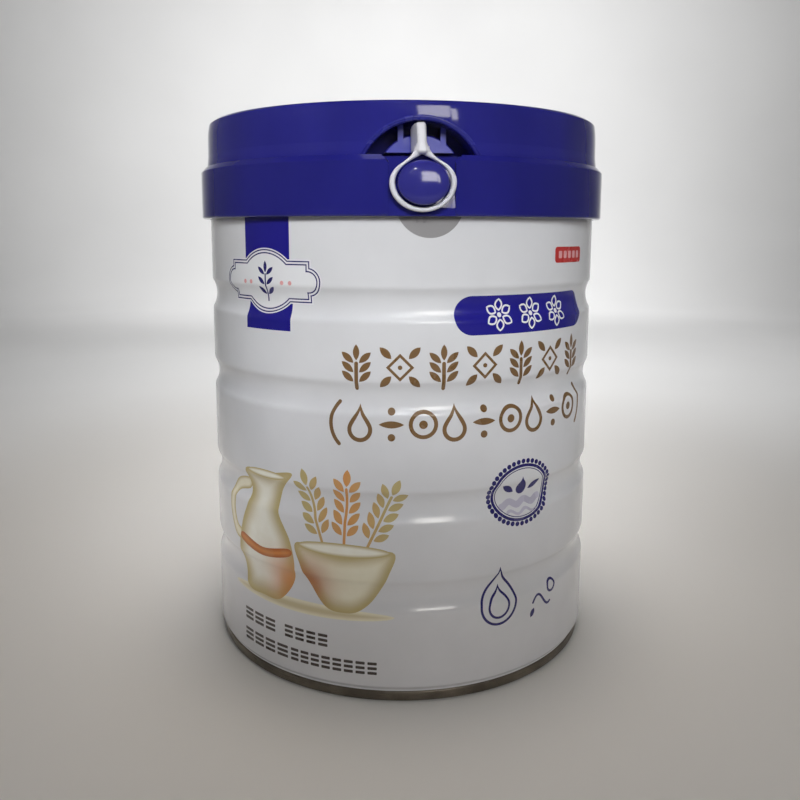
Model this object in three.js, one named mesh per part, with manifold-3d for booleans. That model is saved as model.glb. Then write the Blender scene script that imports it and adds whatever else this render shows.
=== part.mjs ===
// Milk powder tin: a beaded round tin, full and shut, with a two-tier plastic lid held down by a white clasp.
// Millimetres, +Z up, and the clasp faces -Y. The tin stands on the origin's level, and the origin lies midway
// between the front of the button and the back of the collar, so the tin's axis is a little behind it.

import * as THREE from 'three';
import Module from 'manifold-3d';
import { mergeVertices } from 'three/addons/utils/BufferGeometryUtils.js';

const wasm = await Module();
wasm.setup();

// Driving dimensions
const BODY_RADIUS = 63.5; // a 127 mm tin
const LID_HEIGHT = 167.7; // floor to the top of the lid
const CLEARANCE = 0.3; // between pieces that touch
const ROUND_STEPS = 64; // flats round the tin

// Tin body
const BODY_BOTTOM = 3.3;
const BODY_TOP = 151.6;
const BODY_EDGE = 0.8; // rounding of its top edge
const BEAD_HEIGHTS = [31.8, 57.8, 88.6, 114.2]; // middle of each rolled groove
const BEAD_WIDTH = 10.6;
const BEAD_DEPTH = 1.3;
const BEAD_STEPS = 6;
const NECK_RADIUS = 62.4; // pinched in just above the bottom seam
const NECK_STRAIGHT = 0.3;
const NECK_BLEND = 4.3; // height where the neck is half way out
const NECK_TOP = 5.3;

// Tin end: the bottom plate, rolled onto the body in a double seam
const SEAM_RADIUS = 62.6;
const SEAM_INNER_RADIUS = 60.4;
const SEAM_HEIGHT = BODY_BOTTOM - CLEARANCE;
const SEAM_ROUND = 0.6;
const CHUCK_WALL_RADIUS = 60.9;
const COUNTERSINK_DEPTH = 3.9;
const PANEL_DEPTH = 3.2;
const END_TOP = 4.7; // upper face of the bottom plate
const PANEL_RADIUS = 57.5;
const PANEL_STEP_RADIUS = 44;
const PANEL_STEP = 0.4;

// Lid collar: the lower tier, round the top of the tin
const COLLAR_RADIUS = 66.1;
const COLLAR_INNER_RADIUS = 63.85;
const COLLAR_BOTTOM = 137.7;
const COLLAR_TOP = 153.7;
const COLLAR_ROUND = 0.8;
const CHAMFER_BOTTOM = 152.2;
const CHAMFER_TOP_RADIUS = 64.75;
const REBATE_RADIUS = 64.45; // the cap's rim stands in this shallow step
const DECK_HEIGHT = 153.1; // flat top inside the rebate
const DECK_UNDERSIDE = BODY_TOP + CLEARANCE;
const DECK_INNER_RADIUS = 52;

// Lid cap: the upper tier
const CAP_BASE_RADIUS = REBATE_RADIUS - CLEARANCE;
const CAP_BASE = DECK_HEIGHT + CLEARANCE;
const CAP_FOOT_RADIUS = 64.05;
const CAP_FOOT_TOP = 154.9; // the wall leans in from here
const CAP_WALL_RADIUS = 63.8;
const CAP_WALL_BOTTOM = 157.1;
const CAP_SHOULDER_RADIUS = 63.7;
const CAP_EDGE_ACROSS = 1.8; // rounding of the top edge
const CAP_EDGE_DOWN = 3.4;
const CAP_EDGE_STEPS = 4;
const CAP_RIM_INNER_RADIUS = 59.5;
const CAP_PANEL_RADIUS = 58.7;
const CAP_PANEL_DROP = 1.1; // the top panel lies this far below the rim

// Arched recess in the front of the cap
const ARCH_RADIUS = 17;
const ARCH_CENTRE_HEIGHT = 145.4;
const ARCH_FLOOR = 152.5; // below the cap's base, so the recess is open underneath
const ARCH_RIM = 0.7; // width of the bevel round the arch
const ARCH_STEPS = 24;
const RECESS_BACK_DEPTH = 52.3; // of the flat back wall, in front of the tin's axis
const PAD_FACE_DEPTH = 58.6; // raised pad on the back wall, behind the clasp
const PAD_RADIUS = 11.8;
const PAD_CENTRE_HEIGHT = 147.7;
const PAD_STEPS = 16;
const SLOT_HALF_WIDTH = 10.5; // low slot under the pad
const SLOT_TOP = 154.6;
const RIB_PLACES = [-5.2, 6.4]; // middles of the two ribs between the pad and the roof of the recess
const RIB_WIDTH = 1.5;
const RIB_FACE_DEPTH = 58.4;

// Pocket in the front of the collar, behind the clasp's ring
const POCKET_FACE_RADIUS = 64.6; // at the top, where the pocket is deepest
const POCKET_FACE_LOW_RADIUS = 65.8;
const POCKET_SLOPE_BOTTOM = 139.8; // the face leans back between these heights
const POCKET_SLOPE_TOP = 149.8;
const POCKET_HALF_WIDTH = 8.9;
const POCKET_MOUTH_HALF_WIDTH = 10.7;
const POCKET_FLARE_BOTTOM = 151.3;
const POCKET_FLARE_TOP = 153.2;
const POCKET_STEPS = 8;

// Button in the pocket
const BUTTON_HALF_WIDTH = 6.6;
const BUTTON_HALF_HEIGHT = 5.7;
const BUTTON_HEIGHT = 146.2;
const BUTTON_EDGE_RADIUS = 68.9; // where its straight side ends
const BUTTON_TOP_RADIUS = 70.3; // its foremost point
const BUTTON_LEAN = 4.4; // degrees that its face leans back
const BUTTON_STEPS = 32;
const BUTTON_DOME_ANGLES = [0, 22, 42, 60, 74, 84]; // degrees up the dome

// Clasp: an oval ring round the button, on a stem that stands in the recess
const RING_HEIGHT = 146.3;
const RING_HALF_WIDTH = 8.75;
const RING_LOWER = 7.55;
const RING_UPPER = 6.4;
const RING_SHOULDER_ANGLE = 48; // degrees up the oval, where the ring leaves it for the stem
const RING_SHOULDER_REACH = 2.3; // how far its side keeps the oval's direction from there
const RING_BACK_DEPTH = 66.5;
const RING_FRONT_DEPTH = 68.3;
const RING_EDGE = 0.45; // rounding of the ring's edges
const RING_QUARTER_STEPS = 9;
const RING_SHOULDER_STEPS = 5;
const HOLE_HALF_WIDTH = 7.15;
const HOLE_LOWER = 6.3;
const HOLE_SIDE_REACH = 149.8; // heights and half width that steer the hole's side up to its apex
const HOLE_APEX_HALF_WIDTH = 3.8;
const HOLE_APEX_REACH = 151.6;
const HOLE_APEX = 153.4;
const STEM_BOTTOM = 153.3;
const STEM_TOP = 161.7;
const STEM_ROOT_HEIGHT = 156.4; // top of the ring's flat blade, inside the stem
const STEM_ROOT_REACH = 153.6; // height that steers the blade's side into the stem
const STEM_BACK_TOP = 160.7;
const STEM_BACK_BOTTOM = 154.6;
const STEM_BACK_DEPTH = PAD_FACE_DEPTH + CLEARANCE;
const STEM_BACK_WIDTH = 4.3;
const STEM_FRONT_WIDTH = 2.7;
const STEM_FRONT_LOW_DEPTH = 68.5;
const STEM_FRONT_HIGH_DEPTH = 66.9;
const STEM_TOE = 0.75; // rounding of the stem's front foot
const STEM_HEEL = 1.3; // the lower stem reaches this far behind the ring
const STEM_CORNER_SHARE = 0.55; // corner rounding, as a share of half the front's width

// Hinge strap at the back, let into both tiers
const HINGE_HALF_ANGLE = 13; // degrees
const HINGE_THICKNESS = 1;
const HINGE_BOTTOM = 145;
const HINGE_TOP = 160;
const HINGE_BEND_TOP = 155.7; // the strap slopes from the chamfer to this height
const HINGE_CAP_RADIUS = 63.55;
const HINGE_COLLAR_RADIUS = 66;
const HINGE_FOLD = 0.45; // depth of the fold line
const HINGE_STEPS = 10;

const CUT_BEYOND = 2; // how far a cutting solid runs past what it cuts
const MERGE_DISTANCE = 1e-4;

const BLUE = { color: 0x1f1f70, roughness: 0.32, metalness: 0 };
const BUTTON_BLUE = { color: 0x26267c, roughness: 0.15, metalness: 0 };
const WHITE_PLASTIC = { color: 0xdcdce0, roughness: 0.4, metalness: 0 };
const LACQUER = { color: 0xd6d6d8, roughness: 0.25, metalness: 0.1 };
const TINPLATE = { color: 0x6e6960, roughness: 0.35, metalness: 0.9 };

/** Evenly spaced numbers from one value to another. */
function spaced(from, to, steps) {
  return Array.from({ length: steps + 1 }, (_, i) => from + ((to - from) * i) / steps);
}

/** Points of an oval arc between two angles in degrees. */
function arc(centreX, centreY, radiusX, radiusY, from, to, steps) {
  return spaced(from, to, steps).map((degrees) => {
    const angle = THREE.MathUtils.degToRad(degrees);
    return new THREE.Vector2(centreX + radiusX * Math.cos(angle), centreY + radiusY * Math.sin(angle));
  });
}

/** An upright rectangle as an outline. */
function rectangle(left, right, bottom, top) {
  return [[left, bottom], [right, bottom], [right, top], [left, top]].map(([x, y]) => new THREE.Vector2(x, y));
}

/** An arch standing on a level floor, as an outline. */
function archOutline(radius, centreHeight, steps) {
  const foot = THREE.MathUtils.radToDeg(Math.asin((ARCH_FLOOR - centreHeight) / radius));
  return arc(0, centreHeight, radius, radius, foot, 180 - foot, steps);
}

/** The right half of an outline, from its lowest point up, joined to its mirror image. */
function mirrored(rightHalf) {
  const leftHalf = rightHalf.map((p) => new THREE.Vector2(-p.x, p.y)).reverse();
  return [...rightHalf, ...leftHalf.filter((p) => p.x < -MERGE_DISTANCE)];
}

/** A point at a radius from the tin's axis, at an angle in radians from the front, and a height. */
function onTin(radius, angle, height) {
  return new THREE.Vector3(radius * Math.sin(angle), -radius * Math.cos(angle), height);
}

/** A solid from a geometry: only its positions are kept, with shared corners merged. */
function solid(geometry) {
  const bare = geometry.clone();
  bare.deleteAttribute('normal');
  bare.deleteAttribute('uv');
  const merged = mergeVertices(bare, MERGE_DISTANCE);
  return new wasm.Manifold(
    new wasm.Mesh({
      numProp: 3,
      vertProperties: new Float32Array(merged.attributes.position.array),
      triVerts: new Uint32Array(merged.index.array),
    }),
  );
}

/** The geometry of a solid. */
function geometryOf(body) {
  const mesh = body.getMesh();
  const geometry = new THREE.BufferGeometry();
  geometry.setAttribute('position', new THREE.BufferAttribute(Float32Array.from(mesh.vertProperties), 3));
  geometry.setIndex(new THREE.BufferAttribute(Uint32Array.from(mesh.triVerts), 1));
  geometry.computeVertexNormals();
  return geometry;
}

/** Six times the signed volume inside a list of triangles. */
function signedVolume(points, triangles) {
  let sum = 0;
  for (let i = 0; i < triangles.length; i += 3) {
    const [a, b, c] = [points[triangles[i]], points[triangles[i + 1]], points[triangles[i + 2]]];
    sum += a.dot(b.clone().cross(c));
  }
  return sum;
}

/** The triangles of a flat or nearly flat ring of points, turning the same way as the ring. */
function ringTriangles(ring) {
  const normal = new THREE.Vector3();
  ring.forEach((point, i) => {
    normal.add(point.clone().cross(ring[(i + 1) % ring.length]));
  });
  normal.normalize();
  const across = ring[1].clone().sub(ring[0]).projectOnPlane(normal).normalize();
  const up = normal.clone().cross(across);
  const contour = ring.map((point) => new THREE.Vector2(point.dot(across), point.dot(up)));
  return THREE.ShapeUtils.triangulateShape(contour, []);
}

/** A closed body through rings of points, shut at both ends. */
function loft(rings) {
  const count = rings[0].length;
  const points = rings.flat();
  const triangles = [];
  for (let level = 0; level < rings.length - 1; level += 1) {
    for (let i = 0; i < count; i += 1) {
      const a = level * count + i;
      const b = level * count + ((i + 1) % count);
      triangles.push(a, b, a + count, b, b + count, a + count);
    }
  }
  const last = (rings.length - 1) * count;
  ringTriangles(rings[0]).forEach(([a, b, c]) => triangles.push(c, b, a));
  ringTriangles(rings.at(-1)).forEach(([a, b, c]) => triangles.push(last + a, last + b, last + c));
  if (signedVolume(points, triangles) < 0) {
    triangles.reverse();
  }
  const geometry = new THREE.BufferGeometry().setFromPoints(points);
  geometry.setIndex(triangles);
  return geometry;
}

/** A body of revolution about the tin's axis from (radius, height) pairs. */
function turned(profile) {
  const points = profile.map(([radius, height]) => new THREE.Vector2(radius, height));
  const geometry = new THREE.LatheGeometry(points, ROUND_STEPS);
  geometry.rotateX(Math.PI / 2);
  return geometry;
}

/** A (radius, height) section swept through angles in radians, counted from the front. */
function sweep(sectionAt, angles) {
  return loft(angles.map((angle) => sectionAt(angle).map(([radius, height]) => onTin(radius, angle, height))));
}

/** An outline of arc lengths and heights laid round the tin at a radius. */
function roundRing(outline, radius) {
  return outline.map((p) => onTin(radius, p.x / CAP_WALL_RADIUS, p.y));
}

/** The same outline laid on an upright plane at a depth in front of the tin's axis. */
function flatRing(outline, depth) {
  return outline.map((p) => {
    const across = (CAP_WALL_RADIUS - ARCH_RIM) * Math.sin(p.x / CAP_WALL_RADIUS);
    return new THREE.Vector3(across, -depth, p.y);
  });
}

/** A straight block behind an outline, between two depths. */
function flatBlock(outline, back, front) {
  return solid(loft([flatRing(outline, back), flatRing(outline, front)]));
}

function tinEnd() {
  const underside = [
    [0, PANEL_DEPTH + PANEL_STEP],
    [PANEL_STEP_RADIUS - PANEL_STEP, PANEL_DEPTH + PANEL_STEP],
    [PANEL_STEP_RADIUS, PANEL_DEPTH],
    [PANEL_RADIUS, PANEL_DEPTH],
    [PANEL_RADIUS + COUNTERSINK_DEPTH - PANEL_DEPTH, COUNTERSINK_DEPTH],
    [SEAM_INNER_RADIUS, COUNTERSINK_DEPTH],
  ];
  const seam = [
    [SEAM_INNER_RADIUS, SEAM_ROUND],
    [SEAM_INNER_RADIUS + SEAM_ROUND, 0],
    [SEAM_RADIUS - SEAM_ROUND, 0],
    [SEAM_RADIUS, SEAM_ROUND],
    [SEAM_RADIUS, SEAM_HEIGHT - SEAM_ROUND],
    [SEAM_RADIUS - SEAM_ROUND, SEAM_HEIGHT],
    [CHUCK_WALL_RADIUS, SEAM_HEIGHT],
    [CHUCK_WALL_RADIUS, END_TOP],
  ];
  return turned([...underside, ...seam, [0, END_TOP]]);
}

/** One rolled groove: a shallow parabola in the body's wall. */
function bead(middle) {
  return spaced(-1, 1, BEAD_STEPS).map((across) => [
    BODY_RADIUS - BEAD_DEPTH * (1 - across ** 2),
    middle + (across * BEAD_WIDTH) / 2,
  ]);
}

function tinBody() {
  const foot = [
    [0, END_TOP + CLEARANCE],
    [CHUCK_WALL_RADIUS + CLEARANCE, END_TOP + CLEARANCE],
    [CHUCK_WALL_RADIUS + CLEARANCE, BODY_BOTTOM],
    [NECK_RADIUS, BODY_BOTTOM],
    [NECK_RADIUS, BODY_BOTTOM + NECK_STRAIGHT],
    [(NECK_RADIUS + BODY_RADIUS) / 2, NECK_BLEND],
    [BODY_RADIUS, NECK_TOP],
  ];
  const top = [
    [BODY_RADIUS, BODY_TOP - BODY_EDGE],
    [BODY_RADIUS - BODY_EDGE, BODY_TOP],
    [0, BODY_TOP],
  ];
  return turned([...foot, ...BEAD_HEIGHTS.flatMap(bead), ...top]);
}

function collarBlank() {
  const edge = arc(
    COLLAR_RADIUS - COLLAR_ROUND, COLLAR_BOTTOM + COLLAR_ROUND, COLLAR_ROUND, COLLAR_ROUND, -90, 0, 2,
  );
  return turned([
    [COLLAR_INNER_RADIUS, COLLAR_BOTTOM],
    ...edge.map((p) => [p.x, p.y]),
    [COLLAR_RADIUS, CHAMFER_BOTTOM],
    [CHAMFER_TOP_RADIUS, COLLAR_TOP],
    [REBATE_RADIUS, COLLAR_TOP],
    [REBATE_RADIUS, DECK_HEIGHT],
    [DECK_INNER_RADIUS, DECK_HEIGHT],
    [DECK_INNER_RADIUS, DECK_UNDERSIDE],
    [COLLAR_INNER_RADIUS, DECK_UNDERSIDE],
    [COLLAR_INNER_RADIUS, COLLAR_BOTTOM],
  ]);
}

/** The space of the pocket, flared open at the top, with the rebate's rim cut away down to the deck. */
function pocketSpace() {
  const half = POCKET_HALF_WIDTH / COLLAR_RADIUS;
  const mouth = POCKET_MOUTH_HALF_WIDTH / COLLAR_RADIUS;
  const section = (inner, bottom) => [
    [inner, bottom],
    [COLLAR_RADIUS + CUT_BEYOND, bottom],
    [COLLAR_RADIUS + CUT_BEYOND, COLLAR_TOP + CUT_BEYOND],
    [inner, COLLAR_TOP + CUT_BEYOND],
  ];
  const faceSection = [
    ...section(POCKET_FACE_RADIUS, COLLAR_BOTTOM - CUT_BEYOND).slice(1),
    [POCKET_FACE_RADIUS, POCKET_SLOPE_TOP],
    [POCKET_FACE_LOW_RADIUS, POCKET_SLOPE_BOTTOM],
    [POCKET_FACE_LOW_RADIUS, COLLAR_BOTTOM - CUT_BEYOND],
  ];
  const flareSlope = (POCKET_FLARE_TOP - POCKET_FLARE_BOTTOM) / (mouth - half);
  const flareBottom = (angle) => POCKET_FLARE_BOTTOM + flareSlope * Math.max(0, Math.abs(angle) - half);
  const angles = spaced(-half, half, POCKET_STEPS);
  const straight = sweep(() => faceSection, angles);
  const flare = sweep((angle) => section(POCKET_FACE_RADIUS, flareBottom(angle)), [-mouth, ...angles, mouth]);
  const rim = sweep(() => section(REBATE_RADIUS - CUT_BEYOND, DECK_HEIGHT), spaced(-mouth, mouth, POCKET_STEPS));
  return solid(straight).add(solid(flare)).add(solid(rim));
}

/** The hinge strap's section: a band that slopes from the collar up to the cap, with a fold line in it. */
function hingeSection() {
  return [
    [HINGE_COLLAR_RADIUS - HINGE_THICKNESS, HINGE_BOTTOM],
    [HINGE_COLLAR_RADIUS, HINGE_BOTTOM],
    [HINGE_COLLAR_RADIUS, CHAMFER_BOTTOM],
    [(HINGE_COLLAR_RADIUS + HINGE_CAP_RADIUS) / 2 - HINGE_FOLD, (CHAMFER_BOTTOM + HINGE_BEND_TOP) / 2],
    [HINGE_CAP_RADIUS, HINGE_BEND_TOP],
    [HINGE_CAP_RADIUS, HINGE_TOP],
    [HINGE_CAP_RADIUS - HINGE_THICKNESS, HINGE_TOP],
    [HINGE_CAP_RADIUS - HINGE_THICKNESS, HINGE_BEND_TOP],
    [HINGE_COLLAR_RADIUS - HINGE_THICKNESS, CHAMFER_BOTTOM],
  ];
}

/** The section of the space that the strap lies in, open to the outside. */
function hingeSpaceSection() {
  const outside = COLLAR_RADIUS + CUT_BEYOND;
  const lowBack = HINGE_COLLAR_RADIUS - HINGE_THICKNESS - CLEARANCE;
  const highBack = HINGE_CAP_RADIUS - HINGE_THICKNESS - CLEARANCE;
  return [
    [lowBack, HINGE_BOTTOM - CLEARANCE],
    [outside, HINGE_BOTTOM - CLEARANCE],
    [outside, HINGE_TOP + CLEARANCE],
    [highBack, HINGE_TOP + CLEARANCE],
    [highBack, HINGE_BEND_TOP - CLEARANCE],
    [lowBack, CHAMFER_BOTTOM - CLEARANCE],
  ];
}

function hingeSweep(section, extraAngle) {
  const half = THREE.MathUtils.degToRad(HINGE_HALF_ANGLE) + extraAngle;
  return sweep(() => section, spaced(Math.PI - half, Math.PI + half, HINGE_STEPS));
}

function hingeSpace() {
  return solid(hingeSweep(hingeSpaceSection(), CLEARANCE / COLLAR_RADIUS));
}

function lidCollar() {
  return geometryOf(solid(collarBlank()).subtract(pocketSpace()).subtract(hingeSpace()));
}

function capBlank() {
  const edge = arc(
    CAP_SHOULDER_RADIUS - CAP_EDGE_ACROSS, LID_HEIGHT - CAP_EDGE_DOWN, CAP_EDGE_ACROSS, CAP_EDGE_DOWN,
    0, 90, CAP_EDGE_STEPS,
  );
  return turned([
    [0, CAP_BASE],
    [CAP_BASE_RADIUS, CAP_BASE],
    [CAP_FOOT_RADIUS, CAP_FOOT_TOP],
    [CAP_WALL_RADIUS, CAP_WALL_BOTTOM],
    ...edge.map((p) => [p.x, p.y]),
    [CAP_RIM_INNER_RADIUS, LID_HEIGHT],
    [CAP_PANEL_RADIUS, LID_HEIGHT - CAP_PANEL_DROP],
    [0, LID_HEIGHT - CAP_PANEL_DROP],
  ]);
}

/** The space of the arched recess: a bevelled arch down to the pad's face, deeper all round the pad. */
function recessSpace() {
  const arch = (grow) => archOutline(ARCH_RADIUS + grow, ARCH_CENTRE_HEIGHT, ARCH_STEPS);
  const mouth = loft([
    flatRing(arch(0), PAD_FACE_DEPTH),
    roundRing(arch(0), CAP_WALL_RADIUS - ARCH_RIM),
    roundRing(arch(ARCH_RIM), CAP_WALL_RADIUS),
    roundRing(arch(ARCH_RIM + CUT_BEYOND), CAP_WALL_RADIUS + CUT_BEYOND),
    flatRing(arch(ARCH_RIM + CUT_BEYOND), COLLAR_RADIUS + 2 * CUT_BEYOND),
  ]);
  const pad = archOutline(PAD_RADIUS, PAD_CENTRE_HEIGHT, PAD_STEPS);
  const behind = RECESS_BACK_DEPTH - CUT_BEYOND;
  const deepFront = PAD_FACE_DEPTH + CUT_BEYOND / 2;
  let deep = flatBlock(arch(0), RECESS_BACK_DEPTH, deepFront).subtract(
    flatBlock(pad, behind, deepFront + CUT_BEYOND),
  );
  for (const middle of RIB_PLACES) {
    const rib = rectangle(middle - RIB_WIDTH / 2, middle + RIB_WIDTH / 2, SLOT_TOP, LID_HEIGHT);
    deep = deep.subtract(flatBlock(rib, behind, RIB_FACE_DEPTH));
  }
  const slot = rectangle(-SLOT_HALF_WIDTH, SLOT_HALF_WIDTH, ARCH_FLOOR, SLOT_TOP);
  return solid(mouth).add(deep).add(flatBlock(slot, RECESS_BACK_DEPTH, deepFront));
}

function lidCap() {
  return geometryOf(solid(capBlank()).subtract(recessSpace()).subtract(hingeSpace()));
}

/** The pocket's face at a height, as a radius. */
function pocketFace(height) {
  return THREE.MathUtils.mapLinear(
    THREE.MathUtils.clamp(height, POCKET_SLOPE_BOTTOM, POCKET_SLOPE_TOP),
    POCKET_SLOPE_BOTTOM, POCKET_SLOPE_TOP, POCKET_FACE_LOW_RADIUS, POCKET_FACE_RADIUS,
  );
}

/** The button: an oval with a straight side, its foot on the pocket's face, and a flat dome that leans back. */
function latchButton() {
  const lean = Math.tan(THREE.MathUtils.degToRad(BUTTON_LEAN));
  const rise = Math.sqrt((BUTTON_TOP_RADIUS - BUTTON_EDGE_RADIUS) ** 2 - (BUTTON_HALF_HEIGHT * lean) ** 2);
  const ring = (share, radiusAt) =>
    arc(0, BUTTON_HEIGHT, BUTTON_HALF_WIDTH * share, BUTTON_HALF_HEIGHT * share, 0, 360, BUTTON_STEPS)
      .slice(0, BUTTON_STEPS)
      .map((p) => new THREE.Vector3(p.x, -radiusAt(p.y), p.y));
  const foot = ring(1, (height) => pocketFace(height) + CLEARANCE);
  const dome = BUTTON_DOME_ANGLES.map(THREE.MathUtils.degToRad).map((angle) => {
    const middle = BUTTON_EDGE_RADIUS + rise * Math.sin(angle);
    return ring(Math.cos(angle), (height) => middle - (height - BUTTON_HEIGHT) * lean);
  });
  return loft([foot, ...dome]);
}

/** The clasp's ring seen from the front: an oval that flows up into the stem, with a hole that ends in a point. */
function ringShape() {
  const stemHalf = STEM_FRONT_WIDTH / 2 - RING_EDGE;
  const outerHalf = RING_HALF_WIDTH - RING_EDGE;
  const upper = RING_UPPER - RING_EDGE;
  const oval = [
    ...arc(0, RING_HEIGHT, outerHalf, RING_LOWER - RING_EDGE, -90, 0, RING_QUARTER_STEPS),
    ...arc(0, RING_HEIGHT, outerHalf, upper, 0, RING_SHOULDER_ANGLE, RING_SHOULDER_STEPS).slice(1),
  ];
  const shoulder = oval.at(-1);
  const shoulderAngle = THREE.MathUtils.degToRad(RING_SHOULDER_ANGLE);
  const alongOval = new THREE.Vector2(-outerHalf * Math.sin(shoulderAngle), upper * Math.cos(shoulderAngle));
  const root = new THREE.CubicBezierCurve(
    shoulder,
    shoulder.clone().add(alongOval.setLength(RING_SHOULDER_REACH)),
    new THREE.Vector2(stemHalf, STEM_ROOT_REACH),
    new THREE.Vector2(stemHalf, STEM_ROOT_HEIGHT),
  );
  const holeHalf = HOLE_HALF_WIDTH + RING_EDGE;
  const holeOval = arc(0, RING_HEIGHT, holeHalf, HOLE_LOWER + RING_EDGE, -90, 0, RING_QUARTER_STEPS);
  const holeSide = new THREE.CubicBezierCurve(
    holeOval.at(-1),
    new THREE.Vector2(holeHalf, HOLE_SIDE_REACH),
    new THREE.Vector2(HOLE_APEX_HALF_WIDTH, HOLE_APEX_REACH),
    new THREE.Vector2(0, HOLE_APEX + RING_EDGE),
  );
  const shape = new THREE.Shape(mirrored([...oval, ...root.getPoints(RING_SHOULDER_STEPS).slice(1)]));
  shape.holes.push(new THREE.Path(mirrored([...holeOval, ...holeSide.getPoints(RING_QUARTER_STEPS).slice(1)])));
  return shape;
}

/** A level slice of the stem: wide at the back, narrow and rounded at the front. */
function stemSlice(height, back, front, widthShare = 1) {
  const backHalf = (STEM_BACK_WIDTH / 2) * widthShare;
  const frontHalf = (STEM_FRONT_WIDTH / 2) * widthShare;
  const corner = frontHalf * STEM_CORNER_SHARE;
  const rounding = arc(frontHalf - corner, front - corner, corner, corner, 0, 90, 2);
  const right = [new THREE.Vector2(backHalf, back), ...rounding];
  const left = right.map((p) => new THREE.Vector2(-p.x, p.y)).reverse();
  return [...right, ...left].map((p) => new THREE.Vector3(p.x, -p.y, height));
}

function latchClasp() {
  const ring = new THREE.ExtrudeGeometry(ringShape(), {
    depth: RING_FRONT_DEPTH - RING_BACK_DEPTH - 2 * RING_EDGE,
    bevelEnabled: true,
    bevelThickness: RING_EDGE,
    bevelSize: RING_EDGE,
    bevelSegments: 2,
  });
  ring.rotateX(Math.PI / 2);
  ring.translate(0, -RING_BACK_DEPTH - RING_EDGE, 0);
  const slope = (STEM_FRONT_HIGH_DEPTH - STEM_FRONT_LOW_DEPTH) / (STEM_TOP - STEM_BOTTOM);
  const frontAt = (height) => STEM_FRONT_LOW_DEPTH + slope * (height - STEM_BOTTOM);
  const lower = loft([
    stemSlice(STEM_BOTTOM, RING_BACK_DEPTH, frontAt(STEM_BOTTOM) - STEM_TOE, 0.8),
    stemSlice(STEM_BOTTOM + STEM_TOE, RING_BACK_DEPTH, frontAt(STEM_BOTTOM + STEM_TOE)),
    stemSlice(STEM_BACK_BOTTOM, RING_BACK_DEPTH - STEM_HEEL, frontAt(STEM_BACK_BOTTOM)),
  ]);
  const crownStart = (STEM_BACK_TOP + STEM_TOP) / 2;
  const crownDepth = (STEM_BACK_DEPTH + STEM_FRONT_HIGH_DEPTH) / 2;
  const upper = loft([
    stemSlice(STEM_BACK_BOTTOM, STEM_BACK_DEPTH, frontAt(STEM_BACK_BOTTOM)),
    stemSlice(STEM_BACK_TOP, STEM_BACK_DEPTH, frontAt(STEM_BACK_TOP)),
    stemSlice(crownStart, (STEM_BACK_DEPTH + crownDepth) / 2, frontAt(crownStart) - STEM_TOE / 2, 0.9),
    stemSlice(STEM_TOP, crownDepth, frontAt(STEM_TOP) - 2 * STEM_TOE, 0.6),
  ]);
  return geometryOf(solid(ring).add(solid(lower)).add(solid(upper)));
}

/** A named mesh with its own material. */
function piece(name, geometry, finish) {
  const mesh = new THREE.Mesh(geometry, new THREE.MeshStandardMaterial(finish));
  mesh.name = name;
  return mesh;
}

const lid = new THREE.Group();
lid.add(
  piece('lid_collar', lidCollar(), BLUE),
  piece('lid_cap', lidCap(), BLUE),
  piece('lid_hinge', hingeSweep(hingeSection(), 0), BLUE),
  piece('latch_button', latchButton(), BUTTON_BLUE),
  piece('latch_clasp', latchClasp(), WHITE_PLASTIC),
);

const tin = new THREE.Group();
tin.position.y = (BUTTON_TOP_RADIUS - COLLAR_RADIUS) / 2;
tin.add(piece('tin_end', tinEnd(), TINPLATE), piece('tin_body', tinBody(), LACQUER), lid);

export default tin;
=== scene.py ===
# Milk powder tin: the fine shapes, the label's print, every surface's finish, the light and the camera.
# Lengths are in millimetres until a mesh is made, and angles go round the tin from its front.

import math

import bmesh
import bpy
from mathutils import Matrix, Vector


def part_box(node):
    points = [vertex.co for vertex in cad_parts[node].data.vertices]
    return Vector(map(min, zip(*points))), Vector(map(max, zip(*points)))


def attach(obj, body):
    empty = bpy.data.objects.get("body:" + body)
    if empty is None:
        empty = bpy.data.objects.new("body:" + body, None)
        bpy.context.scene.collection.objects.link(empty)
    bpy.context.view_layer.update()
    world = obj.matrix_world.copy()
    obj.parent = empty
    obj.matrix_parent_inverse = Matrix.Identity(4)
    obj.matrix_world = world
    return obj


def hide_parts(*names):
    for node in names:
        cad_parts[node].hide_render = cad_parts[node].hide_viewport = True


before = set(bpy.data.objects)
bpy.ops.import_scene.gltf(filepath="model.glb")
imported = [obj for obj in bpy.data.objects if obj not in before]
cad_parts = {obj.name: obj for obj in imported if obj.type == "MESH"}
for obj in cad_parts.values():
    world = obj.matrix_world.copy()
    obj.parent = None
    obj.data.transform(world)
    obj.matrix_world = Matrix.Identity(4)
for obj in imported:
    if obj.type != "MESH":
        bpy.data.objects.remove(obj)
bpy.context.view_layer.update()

MM = 0.001
ROUND_STEPS = 256
ARCH_STEPS = 96
MERGE_DISTANCE = 0.002
BODY = "root"


def node_box(node):
    """A CAD node's lowest and highest corners in millimetres."""
    low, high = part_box(node)
    return low / MM, high / MM


BODY_LOW, BODY_HIGH = node_box("tin_body")
COLLAR_LOW, COLLAR_HIGH = node_box("lid_collar")
CAP_LOW, CAP_HIGH = node_box("lid_cap")
END_LOW, END_HIGH = node_box("tin_end")
BUTTON_LOW, BUTTON_HIGH = node_box("latch_button")
CLASP_HIGH = node_box("latch_clasp")[1]
HINGE_LOW, HINGE_HIGH = node_box("lid_hinge")

AXIS_Y = (BODY_LOW.y + BODY_HIGH.y) / 2
BODY_RADIUS = (BODY_HIGH.x - BODY_LOW.x) / 2
COLLAR_RADIUS = (COLLAR_HIGH.x - COLLAR_LOW.x) / 2
CAP_BASE_RADIUS = (CAP_HIGH.x - CAP_LOW.x) / 2
SEAM_RADIUS = (END_HIGH.x - END_LOW.x) / 2

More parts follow.
